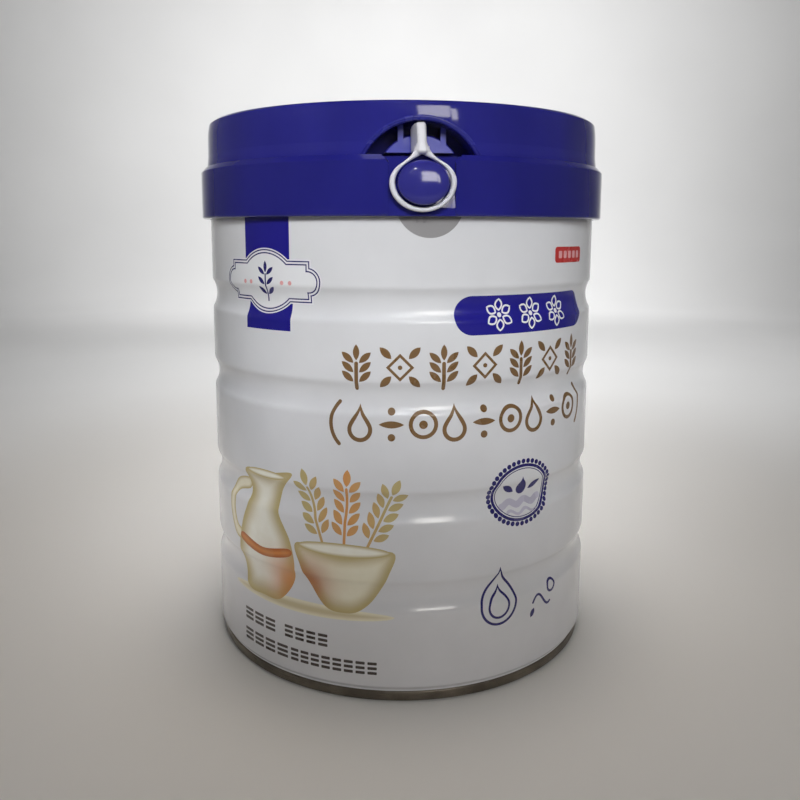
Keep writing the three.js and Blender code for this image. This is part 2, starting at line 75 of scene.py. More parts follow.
# Tin
BEAD_HEIGHTS = (31.8, 57.8, 88.6, 114.2)
BEAD_WIDTH = 10.6
BEAD_DEPTH = 1.3
BEAD_HOLLOW = 0.75
NECK_RADIUS = 62.4
NECK_TOP = 5.3
SEAM_INNER_RADIUS = 60.4
SEAM_HEIGHT = 3.0
PANEL_RADIUS = 57.5
PANEL_STEP_RADIUS = 44.2
PANEL_HEIGHT = 3.2
WELD_HALF_WIDTH = 0.55
WELD_RISE = 0.05

# Lid
CHAMFER_BOTTOM = 152.2
CHAMFER_TOP_RADIUS = 64.75
COLLAR_INNER_RADIUS = 52
REBATE_RADIUS = 64.45
DECK_HEIGHT = 153.1
CAP_WALL_RADIUS = 63.8
CAP_WALL_BOTTOM = 157.1
CAP_SKIRT_TOP = 154.9
CAP_RIM_INNER_RADIUS = 59.5
CAP_PANEL_DEPTH = 1.1
ARCH_RADIUS = 17.0
ARCH_CENTRE_HEIGHT = 145.4
ARCH_FLOOR = 152.5
ARCH_RIM = 0.7
LIP_RISE = 0.12
LIP_WIDTH = 1.4
LIP_FOOT = 155.2
LIP_SHINE_BOTTOM = 156.5
RECESS_BACK_DEPTH = 52.3
PAD_FACE_DEPTH = 58.6
PAD_RADIUS = 11.8
PAD_CENTRE_HEIGHT = 147.7
SLOT_HALF_WIDTH = 10.5
PAD_LEAN = math.tan(math.radians(8))
SLOT_TOP = 154.6
RIB_PLACES = (-5.2, 6.4)
RIB_WIDTH = 1.5
RIB_FACE_DEPTH = 58.4
POCKET_FACE_RADIUS = 64.6
POCKET_FACE_LOW_RADIUS = 65.8
POCKET_SLOPE_BOTTOM = 139.8
POCKET_SLOPE_TOP = 149.8
POCKET_HALF_WIDTH = 8.9
POCKET_MOUTH_HALF_WIDTH = 10.7
POCKET_FLARE_BOTTOM = 151.3
POCKET_FLARE_TOP = 153.2
CUT_BEYOND = 2.0
CUT_OUTSIDE = COLLAR_RADIUS + CUT_BEYOND


def srgb(*screen):
    """A linear colour from a screen colour of 0 to 255."""
    shares = [value / 255 for value in screen]
    return (*(s / 12.92 if s <= 0.04045 else ((s + 0.055) / 1.055) ** 2.4 for s in shares), 1.0)


# Geometry

def on_tin(radius, angle, height):
    """A point at a radius from the tin's axis, an angle in radians from the front, and a height."""
    return Vector((radius * math.sin(angle), AXIS_Y - radius * math.cos(angle), height))


def spaced(start, end, steps):
    return [start + (end - start) * i / steps for i in range(steps + 1)]


def heading(angle):
    """A unit vector at an angle in degrees."""
    return Vector((math.cos(math.radians(angle)), math.sin(math.radians(angle))))


def left_of(way):
    return Vector((-way.y, way.x))


def arc(centre_x, centre_y, radius_x, radius_y, start, end, steps):
    """Points of an oval arc between two angles in degrees."""
    turns = [math.radians(a) for a in spaced(start, end, steps)]
    return [Vector((centre_x + radius_x * math.cos(t), centre_y + radius_y * math.sin(t))) for t in turns]


def oval(x, y, radius_x, radius_y, steps):
    return arc(x, y, radius_x, radius_y, 0, 360, steps)[:-1]


def rounded(corners, closed=False, steps=5):
    """A path through (x, y, radius) corners, each rounded by its radius."""
    path = []
    count = len(corners)
    for i, (x, y, radius) in enumerate(corners):
        here = Vector((x, y))
        if radius == 0 or (not closed and i in (0, count - 1)):
            path.append(here)
            continue
        before = (Vector(corners[i - 1][:2]) - here).normalized()
        after = (Vector(corners[(i + 1) % count][:2]) - here).normalized()
        half = before.angle(after) / 2
        centre = here + (before + after).normalized() * radius / math.sin(half)
        start = here + before * radius / math.tan(half) - centre
        turn = start.angle_signed(here + after * radius / math.tan(half) - centre)
        path += [centre + Matrix.Rotation(angle, 2) @ start for angle in spaced(0, -turn, steps)]
    return path


def edit_mesh(mesh, work):
    shape = bmesh.new()
    shape.from_mesh(mesh)
    work(shape)
    shape.to_mesh(mesh)
    shape.free()


def placed(name, data):
    item = bpy.data.objects.new(name, data)
    bpy.context.scene.collection.objects.link(item)
    return item


def mesh_object(name, points, faces):
    """A new piece from points in millimetres, its faces turned outwards."""
    mesh = bpy.data.meshes.new(name)
    mesh.from_pydata([p * MM for p in points], [], faces)
    edit_mesh(mesh, lambda shape: bmesh.ops.recalc_face_normals(shape, faces=shape.faces))
    return placed(name, mesh)


def quads(rings, closed=False):
    """Faces between rings of point numbers, with three corners where a point is shared."""
    pairs = list(zip(rings, rings[1:]))
    if closed:
        pairs.append((rings[-1], rings[0]))
    faces = []
    for lower, upper in pairs:
        for i in range(len(lower)):
            j = (i + 1) % len(lower)
            faces.append(list(dict.fromkeys((lower[i], lower[j], upper[j], upper[i]))))
    return faces


def number_rings(total, count):
    """The numbers below a total, in rings of a count each."""
    return [list(range(start, start + count)) for start in range(0, total, count)]


def turned(name, profile, steps=ROUND_STEPS):
    """A body of revolution from a profile that starts and ends on the axis, or closes on itself."""
    points, rings = [], []
    for radius, height in profile:
        count = 1 if radius < 1e-6 else steps
        rings.append([len(points) + i % count for i in range(steps)])
        points += [on_tin(radius, 2 * math.pi * i / steps, height) for i in range(count)]
    return mesh_object(name, points, quads(rings, closed=profile[0][0] > 1e-6))


def loft(name, rings):
    """A closed body through rings of points, shut at both ends."""
    points = [p for ring in rings for p in ring]
    numbers = number_rings(len(points), len(rings[0]))
    return mesh_object(name, points, quads(numbers) + [numbers[0], numbers[-1]])


def sweep(name, section_at, angles):
    """A (radius, height) section swept round the tin through angles in radians."""
    return loft(name, [[on_tin(r, angle, h) for r, h in section_at(angle)] for angle in angles])


def evaluated(item):
    """An object's mesh with its modifiers done."""
    depsgraph = bpy.context.evaluated_depsgraph_get()
    return bpy.data.meshes.new_from_object(item.evaluated_get(depsgraph))


def settle(target, settings):
    for key, value in settings.items():
        setattr(target, key, value)


def modify(piece, kind, **settings):
    settle(piece.modifiers.new(kind, kind), settings)


def apply_modifiers(piece):
    mesh = evaluated(piece)
    piece.modifiers.clear()
    piece.data = mesh
    return piece


def boolean(piece, operation, *others):
    """Cuts the others from a piece, or joins them to it, and deletes them."""
    for other in others:
        modify(piece, "BOOLEAN", operation=operation, solver="EXACT", object=other)
    apply_modifiers(piece)
    for other in others:
        bpy.data.objects.remove(other)
    return piece


def soften(piece, width):
    modify(piece, "BEVEL", width=width * MM, segments=2, limit_method="ANGLE",
           angle_limit=math.radians(35), miter_outer="MITER_ARC")
    return apply_modifiers(piece)


def welded(piece):
    """Merges points that lie together, and so drops faces without an area."""
    near = MERGE_DISTANCE * MM
    edit_mesh(piece.data, lambda shape: bmesh.ops.remove_doubles(shape, verts=shape.verts, dist=near))
    return piece


def shade(piece, angle=32):
    """Smooth shading, with edges sharper than the angle kept."""
    piece.data.shade_smooth()
    piece.data.set_sharp_from_angle(angle=math.radians(angle))
    return piece


def finish_piece(piece, material, slot, *nodes):
    """Gives a piece its material, and lets it stand for its CAD nodes. The slot argument is not used."""
    piece.data.materials.clear()
    piece.data.materials.append(material)
    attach(piece, BODY)
    if nodes:
        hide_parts(*nodes)


# Materials

class Nodes:
    """A material's node tree, with short calls for the nodes that the finishes share."""

    def __init__(self, name):
        self.material = bpy.data.materials.new(name)
        self.material.use_nodes = True
        self.tree = self.material.node_tree
        self.shader = self.tree.nodes["Principled BSDF"]
        self.place = self.add("TexCoord").outputs["Object"]

    def feed(self, inputs, node=None):
        """Sets inputs of a node or the shader, each to a value or to another node's output."""
        sockets = (node or self.shader).inputs
        for key, value in inputs.items():
            if isinstance(value, bpy.types.NodeSocket):
                self.tree.links.new(value, sockets[key])
            else:
                sockets[key].default_value = value

    def add(self, kind, inputs=None, **settings):
        node = self.tree.nodes.new("ShaderNode" + kind)
        settle(node, settings)
        self.feed(inputs or {}, node)
        return node

    def noise(self, scale, detail, stretch=(1, 1, 1)):
        """Noise by place on the object, finer along an axis with a larger stretch."""
        place = self.add("Mapping", {"Vector": self.place, "Scale": stretch}).outputs["Vector"]
        return self.add("TexNoise", {"Vector": place, "Scale": scale, "Detail": detail}).outputs["Fac"]

    def spread(self, value, low, high, start=0.35, end=0.65):
        limits = {"From Min": start, "From Max": end, "To Min": low, "To Max": high}
        return self.add("MapRange", {"Value": value, **limits}).outputs["Result"]

    def mix(self, factor, first, second):
        """A mix of two colours, which are inputs 6 and 7 of the node."""
        return self.add("Mix", {"Factor": factor, 6: first, 7: second}, data_type="RGBA").outputs[2]

    def mottle(self, colour, pattern, low, high, start=0.35, end=0.65):
        """A base colour that a pattern makes darker and lighter."""
        share = self.spread(pattern, 0, 1, start, end)
        self.feed({"Base Color": self.mix(share, tinted(colour, low), tinted(colour, high))})

    def gloss(self, pattern, low, high, coat=0.0, coat_roughness=0.03):
        """A roughness that a pattern varies, under a clear coat."""
        roughness = self.spread(pattern, low, high)
        self.feed({"Roughness": roughness, "Coat Weight": coat, "Coat Roughness": coat_roughness})

    def bump(self, height, strength, distance):
        inputs = {"Height": height, "Strength": strength, "Distance": distance * MM}
        self.feed({"Normal": self.add("Bump", inputs).outputs["Normal"]})


def tinted(colour, share):
    """A screen colour made lighter or darker."""
    return tuple(min(1.0, c * share) for c in srgb(*colour)[:3]) + (1.0,)


def coated(name, colour, roughness=0.18, variation=0.035):
    """Lacquer or ink on tinplate: a faint unevenness in tone and gloss, and a very fine orange peel."""
    nodes = Nodes(name)
    nodes.mottle(colour, nodes.noise(38, 4), 1 - variation, 1 + variation)
    nodes.gloss(nodes.noise(150, 3), roughness * 0.85, roughness * 1.2, 0.28, 0.08)
    nodes.bump(nodes.noise(900, 2), 0.05, 0.04)
    return nodes.material


def moulded(name, colour, roughness, grain, variation=0.08, coat=0.0):
    """Moulded plastic: slight flow marks in its tone, uneven gloss and a fine grain."""
    nodes = Nodes(name)
    nodes.mottle(colour, nodes.noise(60, 5, (1, 1, 0.4)), 1 - variation, 1 + variation)
    nodes.gloss(nodes.noise(220, 4), roughness * 0.82, roughness * 1.25, coat, 0.1)
    nodes.bump(nodes.noise(1600, 3), grain, 0.05)
    return nodes.material


def tinplate(name, colour, roughness):
    """Bare tinplate: fine lines round the tin, and a tone that is duller in patches."""
    nodes = Nodes(name)
    lines = nodes.noise(120, 5, (1, 1, 30))
    nodes.mottle(colour, nodes.noise(75, 5), 0.7, 1.25, 0.4, 0.7)
    nodes.gloss(lines, roughness * 0.75, roughness * 1.4)
    nodes.feed({"Metallic": 0.85})
    nodes.bump(lines, 0.12, 0.04)
    return nodes.material


def painted(name, roughness=0.22):
    """Printed picture: its tones come from the shape's own shading, in the layer named tone."""
    nodes = Nodes(name)
    tone = nodes.add("VertexColor", layer_name="tone").outputs["Color"]
    grain = nodes.spread(nodes.noise(260, 3), 0, 0.12)
    nodes.feed({"Base Color": nodes.mix(grain, tone, srgb(205, 190, 150))})
    nodes.gloss(nodes.noise(150, 3), roughness * 0.85, roughness * 1.2, 0.35, 0.08)
    return nodes.material


LACQUER = coated("lacquer", (221, 221, 225))
INK_BLUE = coated("ink_blue", (30, 26, 132), 0.2, 0.08)
INK_NAVY = coated("ink_navy", (42, 38, 104), 0.24, 0.1)
INK_WHITE = coated("ink_white", (231, 231, 235))
INK_BROWN = coated("ink_brown", (122, 92, 58), 0.3, 0.1)
INK_DARK = coated("ink_dark", (66, 56, 52), 0.3, 0.1)
INK_RED = coated("ink_red", (190, 52, 50), 0.25, 0.08)
INK_PINK = coated("ink_pink", (226, 164, 166), 0.25, 0.05)
INK_GREY = coated("ink_grey", (150, 148, 150), 0.3, 0.05)
INK_LILAC = coated("ink_lilac", (186, 182, 200), 0.3, 0.05)
PICTURE = painted("picture")
BLUE_PLASTIC = moulded("blue_plastic", (34, 34, 120), 0.08, 0.03)
CAP_PLASTIC = moulded("cap_plastic", (40, 40, 133), 0.08, 0.03)
# The arch's rim and lip: a rougher finish, and a slightly lighter blue that is a painted highlight.
RIM_PLASTIC_PAINTED_HIGHLIGHT = moulded("rim_plastic_painted_highlight", (44, 46, 140), 0.26, 0.03)
# The pad's face in the recess: the cap's blue made much lighter, as painted light falling on it through the
# arch.
PAD_PAINTED_LIGHT_PLASTIC = moulded("pad_plastic_painted_light", (74, 78, 176), 0.36, 0.04)
BUTTON_PLASTIC = moulded("button_plastic", (46, 45, 128), 0.1, 0.02, 0.05, 0.3)
WHITE_PLASTIC = moulded("white_plastic", (218, 218, 226), 0.32, 0.04, 0.03)
SEAM_METAL = tinplate("seam_metal", (128, 120, 108), 0.34)
WELD_METAL = tinplate("weld_metal", (176, 176, 178), 0.3)


# The tin

def groove_depth(across):
    """A groove's depth at a distance from its middle: a wide hollow arc between two tighter shoulders."""
    half = BEAD_WIDTH / 2
    steepest = math.sin(2 * math.atan(BEAD_DEPTH / half))
    hollow = BEAD_HOLLOW * half / steepest
    shoulder = (1 - BEAD_HOLLOW) * half / steepest
    if across >= half:
        return 0
    if across > BEAD_HOLLOW * half:
        return shoulder - math.sqrt(shoulder ** 2 - (half - across) ** 2)
    return BEAD_DEPTH - hollow + math.sqrt(hollow ** 2 - across ** 2)


def wall_radius(height):
    """The can wall's radius at a height: four rolled grooves in a straight wall."""
    return BODY_RADIUS - sum(groove_depth(abs(height - middle)) for middle in BEAD_HEIGHTS)


def wall_heights(low, high, bead_step=0.35, flat_step=3.0):
    """Heights that follow the wall closely in the grooves and loosely between them."""
    heights = {low, high}
    for middle in BEAD_HEIGHTS:
        count = round((BEAD_WIDTH + 0.6) / bead_step)
        heights.update(middle - BEAD_WIDTH / 2 - 0.3 + i * bead_step for i in range(count + 1))
    height = low
    while height < high:
        if all(abs(height - middle) > BEAD_WIDTH / 2 + 1 for middle in BEAD_HEIGHTS):
            heights.add(height)
        height += flat_step
    return sorted(h for h in heights if low <= h <= high)


def tin_shell():
    top = BODY_HIGH.z
    inner = SEAM_INNER_RADIUS + 0.8
    foot = rounded([
        (inner, END_HIGH.z + 0.3, 0), (inner, SEAM_HEIGHT + 0.05, 0),
        (NECK_RADIUS, SEAM_HEIGHT + 0.05, 0.1), (NECK_RADIUS, NECK_TOP - 1.7, 0.4),
        (BODY_RADIUS, NECK_TOP - 0.4, 1.0), (BODY_RADIUS, NECK_TOP + 3, 0),
    ])
    wall = [Vector((wall_radius(h), h)) for h in wall_heights(NECK_TOP + 3, top - 1)[1:]]
    shoulder = [Vector((BODY_RADIUS - 0.8, top)), Vector((0, top))]
    profile = [Vector((0, END_HIGH.z + 0.3)), *foot, *wall, *shoulder]
    finish_piece(shade(turned("tin_shell", profile)), LACQUER, "printed_tin", "tin_body")


def tin_foot():
    profile = rounded([
        (0, PANEL_HEIGHT + 0.4, 0),
        (PANEL_STEP_RADIUS - 0.6, PANEL_HEIGHT + 0.4, 0.5),
        (PANEL_STEP_RADIUS, PANEL_HEIGHT, 0.5),
        (PANEL_RADIUS, PANEL_HEIGHT, 0.6),
        (PANEL_RADIUS + 0.9, PANEL_HEIGHT + 0.7, 0.5),
        (SEAM_INNER_RADIUS, PANEL_HEIGHT + 0.7, 0.4),
        (SEAM_INNER_RADIUS, 0, 0.6), (SEAM_RADIUS, 0, 0.6),
        (SEAM_RADIUS, SEAM_HEIGHT, 0.5), (SEAM_INNER_RADIUS + 0.5, SEAM_HEIGHT, 0),
        (SEAM_INNER_RADIUS + 0.5, END_HIGH.z, 0), (0, END_HIGH.z, 0),
    ])
    finish_piece(shade(turned("tin_foot", profile)), SEAM_METAL, "tinplate", "tin_end")


def weld_seam():
    """A narrow bare strip down the back, where the can's wall is welded."""
    section = ((-0.2, -1), (0, -1), (WELD_RISE, -0.5), (WELD_RISE, 0.5), (0, 1), (-0.2, 1))
    half = WELD_HALF_WIDTH / BODY_RADIUS
    rings = []
    for height in wall_heights(NECK_TOP + 2, COLLAR_LOW.z + 2):
        radius = wall_radius(height)
        rings.append([on_tin(radius + rise, math.pi + half * share, height) for rise, share in section])
    finish_piece(shade(loft("weld_seam", rings)), WELD_METAL, "tinplate")


# The lid

def pocket_cutters():
    half = POCKET_HALF_WIDTH / COLLAR_RADIUS
    mouth = POCKET_MOUTH_HALF_WIDTH / COLLAR_RADIUS
    above = COLLAR_HIGH.z + CUT_BEYOND
    slope = (POCKET_FLARE_TOP - POCKET_FLARE_BOTTOM) / (mouth - half)
    inner = REBATE_RADIUS - CUT_BEYOND

    face = rounded([
        (POCKET_FACE_LOW_RADIUS, COLLAR_LOW.z - CUT_BEYOND, 0),
        (CUT_OUTSIDE, COLLAR_LOW.z - CUT_BEYOND, 0), (CUT_OUTSIDE, above, 0),
        (POCKET_FACE_RADIUS, above, 0),
        (POCKET_FACE_RADIUS, POCKET_SLOPE_TOP, 4),
        (POCKET_FACE_LOW_RADIUS, POCKET_SLOPE_BOTTOM, 4),
    ], closed=True, steps=3)
    level = [(inner, DECK_HEIGHT), (CUT_OUTSIDE, DECK_HEIGHT), (CUT_OUTSIDE, above), (inner, above)]

    def flared(angle):
        bottom = POCKET_FLARE_BOTTOM + slope * max(0, abs(angle) - half)
        sill = [(POCKET_FACE_RADIUS, bottom + 0.7), (CUT_OUTSIDE, bottom - 0.9)]
        return sill + [(CUT_OUTSIDE, above), (POCKET_FACE_RADIUS, above)]

    angles = spaced(-half, half, 24)
    straight = sweep("pocket", lambda angle: face, angles)
    flare = sweep("flare", flared, [-mouth, *angles, mouth])
    rim = sweep("rim", lambda angle: level, spaced(-mouth, mouth, 24))
    return boolean(straight, "UNION", flare, rim)


HINGE_HALF_ANGLE = math.asin(HINGE_HIGH.x / (COLLAR_RADIUS - 0.1))
HINGE_THICKNESS = 1.0
HINGE_CAP_RADIUS = 63.55
HINGE_COLLAR_RADIUS = 66.0
HINGE_BEND_TOP = 155.7
HINGE_GAP = 0.2


def hinge_cutter():
    low_back = HINGE_COLLAR_RADIUS - HINGE_THICKNESS - 0.3
    high_back = HINGE_CAP_RADIUS - HINGE_THICKNESS - 0.3
    section = [
        (low_back, HINGE_LOW.z - HINGE_GAP),
        (CUT_OUTSIDE, HINGE_LOW.z - HINGE_GAP), (CUT_OUTSIDE, HINGE_HIGH.z + HINGE_GAP),
        (high_back, HINGE_HIGH.z + HINGE_GAP),
        (high_back, HINGE_BEND_TOP - HINGE_GAP),
        (low_back, CHAMFER_BOTTOM - HINGE_GAP),
    ]
    half = HINGE_HALF_ANGLE + HINGE_GAP / COLLAR_RADIUS
    return sweep("hinge_space", lambda angle: section, spaced(math.pi - half, math.pi + half, 24))


def lid_collar():
    inner = BODY_RADIUS + 0.35
    profile = rounded([
        (inner, COLLAR_LOW.z, 0),
        (COLLAR_RADIUS, COLLAR_LOW.z, 0.8),
        (COLLAR_RADIUS, CHAMFER_BOTTOM, 0.35),
        (CHAMFER_TOP_RADIUS, COLLAR_HIGH.z, 0.2),
        (REBATE_RADIUS, COLLAR_HIGH.z, 0), (REBATE_RADIUS, DECK_HEIGHT, 0),
        (COLLAR_INNER_RADIUS, DECK_HEIGHT, 0), (COLLAR_INNER_RADIUS, BODY_HIGH.z + 0.3, 0),
        (inner, BODY_HIGH.z + 0.3, 0),
    ], closed=True)
    collar = boolean(turned("collar", profile), "DIFFERENCE", pocket_cutters(), hinge_cutter())
    finish_piece(shade(welded(soften(collar, 0.12))), BLUE_PLASTIC, "blue_plastic", "lid_collar")


def arch_outline(radius, centre_height, steps, floor=ARCH_FLOOR):
    foot = math.degrees(math.asin((floor - centre_height) / radius))
    return arc(0, centre_height, radius, radius, foot, 180 - foot, steps)


def arch(grown=0.0, floor=ARCH_FLOOR):
    """The recess's arch, grown by a distance."""
    return arch_outline(ARCH_RADIUS + grown, ARCH_CENTRE_HEIGHT, ARCH_STEPS, floor)


def pad_arch(inset=0.0):
    return arch_outline(PAD_RADIUS - inset, PAD_CENTRE_HEIGHT, 64)


def round_ring(outline, radius):
    """An outline of arc lengths and heights laid round the tin."""
    return [on_tin(radius, p.x / CAP_WALL_RADIUS, p.y) for p in outline]


def flat_ring(outline, depth):
    """The same outline laid on an upright plane in front of the tin's axis."""
    reach = CAP_WALL_RADIUS - ARCH_RIM
    return [Vector((reach * math.sin(p.x / CAP_WALL_RADIUS), AXIS_Y - depth, p.y)) for p in outline]


def leaning_ring(outline, depth):
    """The flat outline on a plane that leans back above the slot."""
    return [p + Vector((0, max(0, p.z - SLOT_TOP) * PAD_LEAN, 0)) for p in flat_ring(outline, depth)]


def flat_block(name, outline, back, front):
    return loft(name, [flat_ring(outline, back), flat_ring(outline, front)])


def rectangle(left, right, bottom, top):
    return [Vector(p) for p in ((left, bottom), (right, bottom), (right, top), (left, top))]


def recess_cutter():
    """The arched recess: a rounded rim, a floor at the pad's face, and a deeper space all round the pad."""
    rings = [flat_ring(arch(), PAD_FACE_DEPTH)]
    for turn in spaced(0, math.pi / 2, 8):
        radius = CAP_WALL_RADIUS - ARCH_RIM * (1 - math.sin(turn))
        rings.append(round_ring(arch(ARCH_RIM * (1 - math.cos(turn))), radius))
    wide = arch(ARCH_RIM + CUT_BEYOND)
    rings.append(round_ring(wide, CAP_WALL_RADIUS + CUT_BEYOND))
    rings.append(flat_ring(wide, COLLAR_RADIUS + 2 * CUT_BEYOND))
    mouth = loft("recess", rings)
    behind = RECESS_BACK_DEPTH - CUT_BEYOND
    front = PAD_FACE_DEPTH + 1
    deep = flat_block("deep", arch(), RECESS_BACK_DEPTH, front)
    pad_edge = 0.35
    pad = loft("pad", [
        flat_ring(pad_arch(), behind),
        leaning_ring(pad_arch(), PAD_FACE_DEPTH - pad_edge),
        leaning_ring(pad_arch(pad_edge), PAD_FACE_DEPTH),
    ])
    half = RIB_WIDTH / 2
    ribs = [
        flat_block("rib", rectangle(x - half, x + half, SLOT_TOP, CAP_HIGH.z), behind, RIB_FACE_DEPTH)
        for x in RIB_PLACES
    ]
    boolean(deep, "DIFFERENCE", pad, *ribs)
    gap = rectangle(-SLOT_HALF_WIDTH, SLOT_HALF_WIDTH, ARCH_FLOOR, SLOT_TOP)
    return boolean(mouth, "UNION", deep, flat_block("slot", gap, RECESS_BACK_DEPTH, front))


def arch_lip():
    """A low raised lip round the arch, on the cap's wall."""
    edge = LIP_WIDTH
    section = ((edge, -0.4), (edge, -0.15), (1.3, 0.02), (1.15, 0.09), (0.95, LIP_RISE), (0.3, LIP_RISE))
    rings = [round_ring(arch(grown, LIP_FOOT), CAP_WALL_RADIUS + rise) for grown, rise in section]
    return loft("lip", rings)


def on_rim(spot):
    """Whether a point of the cap is on the arch's rounded rim or its lip, which are painted a lighter blue
    as a painted highlight.
    """
    depth = AXIS_Y - spot.y
    radius = math.hypot(spot.x, depth)
    if depth < 0 or spot.z < LIP_SHINE_BOTTOM or radius < CAP_WALL_RADIUS - ARCH_RIM - 0.05:
        return False
    across = math.atan2(spot.x, depth) * CAP_WALL_RADIUS
    grown = math.hypot(across, spot.z - ARCH_CENTRE_HEIGHT) - ARCH_RADIUS
    return -0.2 < grown < ARCH_RIM or (grown < LIP_WIDTH and radius > CAP_WALL_RADIUS + 0.02)


def lid_cap():
    top = CAP_HIGH.z
    profile = rounded([
        (0, CAP_LOW.z, 0),
        (CAP_BASE_RADIUS, CAP_LOW.z, 0.2),
        (CAP_BASE_RADIUS - 0.1, CAP_SKIRT_TOP, 0.4),
        (CAP_WALL_RADIUS, CAP_WALL_BOTTOM, 2.0),
        (CAP_WALL_RADIUS - 0.1, top - 3.3, 25.0),
        (CAP_WALL_RADIUS - 0.5, top - 0.7, 0.4),
        (CAP_WALL_RADIUS - 1.5, top, 0.6),
        (CAP_RIM_INNER_RADIUS, top, 0.35),
        (CAP_RIM_INNER_RADIUS - 0.8, top - CAP_PANEL_DEPTH, 0.4),
        (0, top - CAP_PANEL_DEPTH, 0),
    ])
    cap = boolean(turned("cap", profile), "UNION", arch_lip())
    boolean(cap, "DIFFERENCE", recess_cutter(), hinge_cutter())
    finish_piece(shade(welded(cap), 20), CAP_PLASTIC, "blue_plastic", "lid_cap")
    # The pad's face is painted a lighter blue, as painted light falling into the recess.
    cap.data.materials.append(PAD_PAINTED_LIGHT_PLASTIC)
    # The rim and lip are painted a lighter blue, as a painted highlight, and are rougher.
    cap.data.materials.append(RIM_PLASTIC_PAINTED_HIGHLIGHT)
    for face in cap.data.polygons:
        spot = face.center / MM
        at_pad = PAD_FACE_DEPTH - 1.2 < AXIS_Y - spot.y < PAD_FACE_DEPTH + 0.01
        if at_pad and face.normal.y < -0.9 and spot.z > SLOT_TOP and abs(spot.x) < PAD_RADIUS:
            face.material_index = 1
        elif on_rim(spot):
            face.material_index = 2


def lid_hinge():
    """The strap hinge at the back, with a fold line where the tiers meet."""
    low, high, thick = HINGE_COLLAR_RADIUS, HINGE_CAP_RADIUS, HINGE_THICKNESS
    fold_height = (CHAMFER_BOTTOM + HINGE_BEND_TOP) / 2
    section = rounded([
        (low - thick, HINGE_LOW.z, 0),
        (low, HINGE_LOW.z, 0.3),
        (low, CHAMFER_BOTTOM, 0.8),
        ((low + high) / 2 - 0.45, fold_height, 0.5),
        (high, HINGE_BEND_TOP, 0.8),
        (high, HINGE_HIGH.z, 0.3),
        (high - thick, HINGE_HIGH.z, 0),
        (high - thick, HINGE_BEND_TOP, 0),
        (low - thick, CHAMFER_BOTTOM, 0),
    ], closed=True, steps=4)
    half = HINGE_HALF_ANGLE
    strap = sweep("hinge_strap", lambda angle: section, spaced(math.pi - half, math.pi + half, 48))
    finish_piece(shade(strap), BLUE_PLASTIC, "blue_plastic", "lid_hinge")


# The latch

BUTTON_CENTRE = (BUTTON_LOW.z + BUTTON_HIGH.z) / 2
BUTTON_EDGE_DEPTH = 68.9
BUTTON_TOP_DEPTH = AXIS_Y - BUTTON_LOW.y
BUTTON_LEAN = math.tan(math.radians(4.4))
RING_HEIGHT = 146.3
RING_HALF_WIDTH = 8.75
RING_LOWER = 7.55
RING_UPPER = 6.4
RING_SHOULDER = 48
RING_MIDDLE_DEPTH = 67.4
RING_HALF_DEPTH = 0.9
ARM_SET_BACK = 0.6
ARM_BOTTOM = 150.8
ARM_RUN = 2.4
ARM_ROOT_HALF = 1.9
RIDGE_TIP = 153.4
HOLE_HALF_WIDTH = 7.2
HOLE_LOWER = 6.3
HOLE_APEX = 153.4
HOLE_PULL = (3.8, 151.6)
STEM_FRONT_HALF = 1.15
STEM_BACK_HALF = 2.15
STEM_ROOT_HEIGHT = 157.0
STEM_BOTTOM = 153.3
STEM_BACK_BOTTOM = 154.6
STEM_BACK_DEPTH = PAD_FACE_DEPTH + 0.3
STEM_LOW_DEPTH = 68.6
STEM_HIGH_DEPTH = 66.9
CLASP_LEAN = math.radians(-1.7)
CLASP_VOXEL = 0.14


def latch_button():
    """An oval button with a straight side and a flat dome that leans back."""
    half_width = BUTTON_HIGH.x
    half_height = (BUTTON_HIGH.z - BUTTON_LOW.z) / 2
    rise = math.sqrt((BUTTON_TOP_DEPTH - BUTTON_EDGE_DEPTH) ** 2 - (half_height * BUTTON_LEAN) ** 2)

    def ring(depth, share, lean=BUTTON_LEAN):
        outline = oval(0, BUTTON_CENTRE, half_width * share, half_height * share, 96)
        return [Vector((p.x, AXIS_Y - depth + (p.y - BUTTON_CENTRE) * lean, p.y)) for p in outline]

    face_slope = (POCKET_FACE_LOW_RADIUS - POCKET_FACE_RADIUS) / (POCKET_SLOPE_TOP - POCKET_SLOPE_BOTTOM)
    rings = [ring((POCKET_FACE_LOW_RADIUS + POCKET_FACE_RADIUS) / 2 - 0.3, 1, face_slope)]
    for angle in spaced(0, math.pi / 2 - 0.03, 28):
        rings.append(ring(BUTTON_EDGE_DEPTH + rise * math.sin(angle), math.cos(angle)))
    finish_piece(shade(loft("button", rings), 50), BUTTON_PLASTIC, "blue_plastic", "latch_button")


def bezier(a, b, c, d, steps):
    return [
        a * (1 - t) ** 3 + b * 3 * t * (1 - t) ** 2 + c * 3 * t ** 2 * (1 - t) + d * t ** 3
        for t in spaced(0, 1, steps)
    ]


def mirrored(right_half):
    """A loop from its right half, which runs between two points on the middle line."""
    return right_half + [Vector((-p.x, p.y)) for p in reversed(right_half[1:-1])]


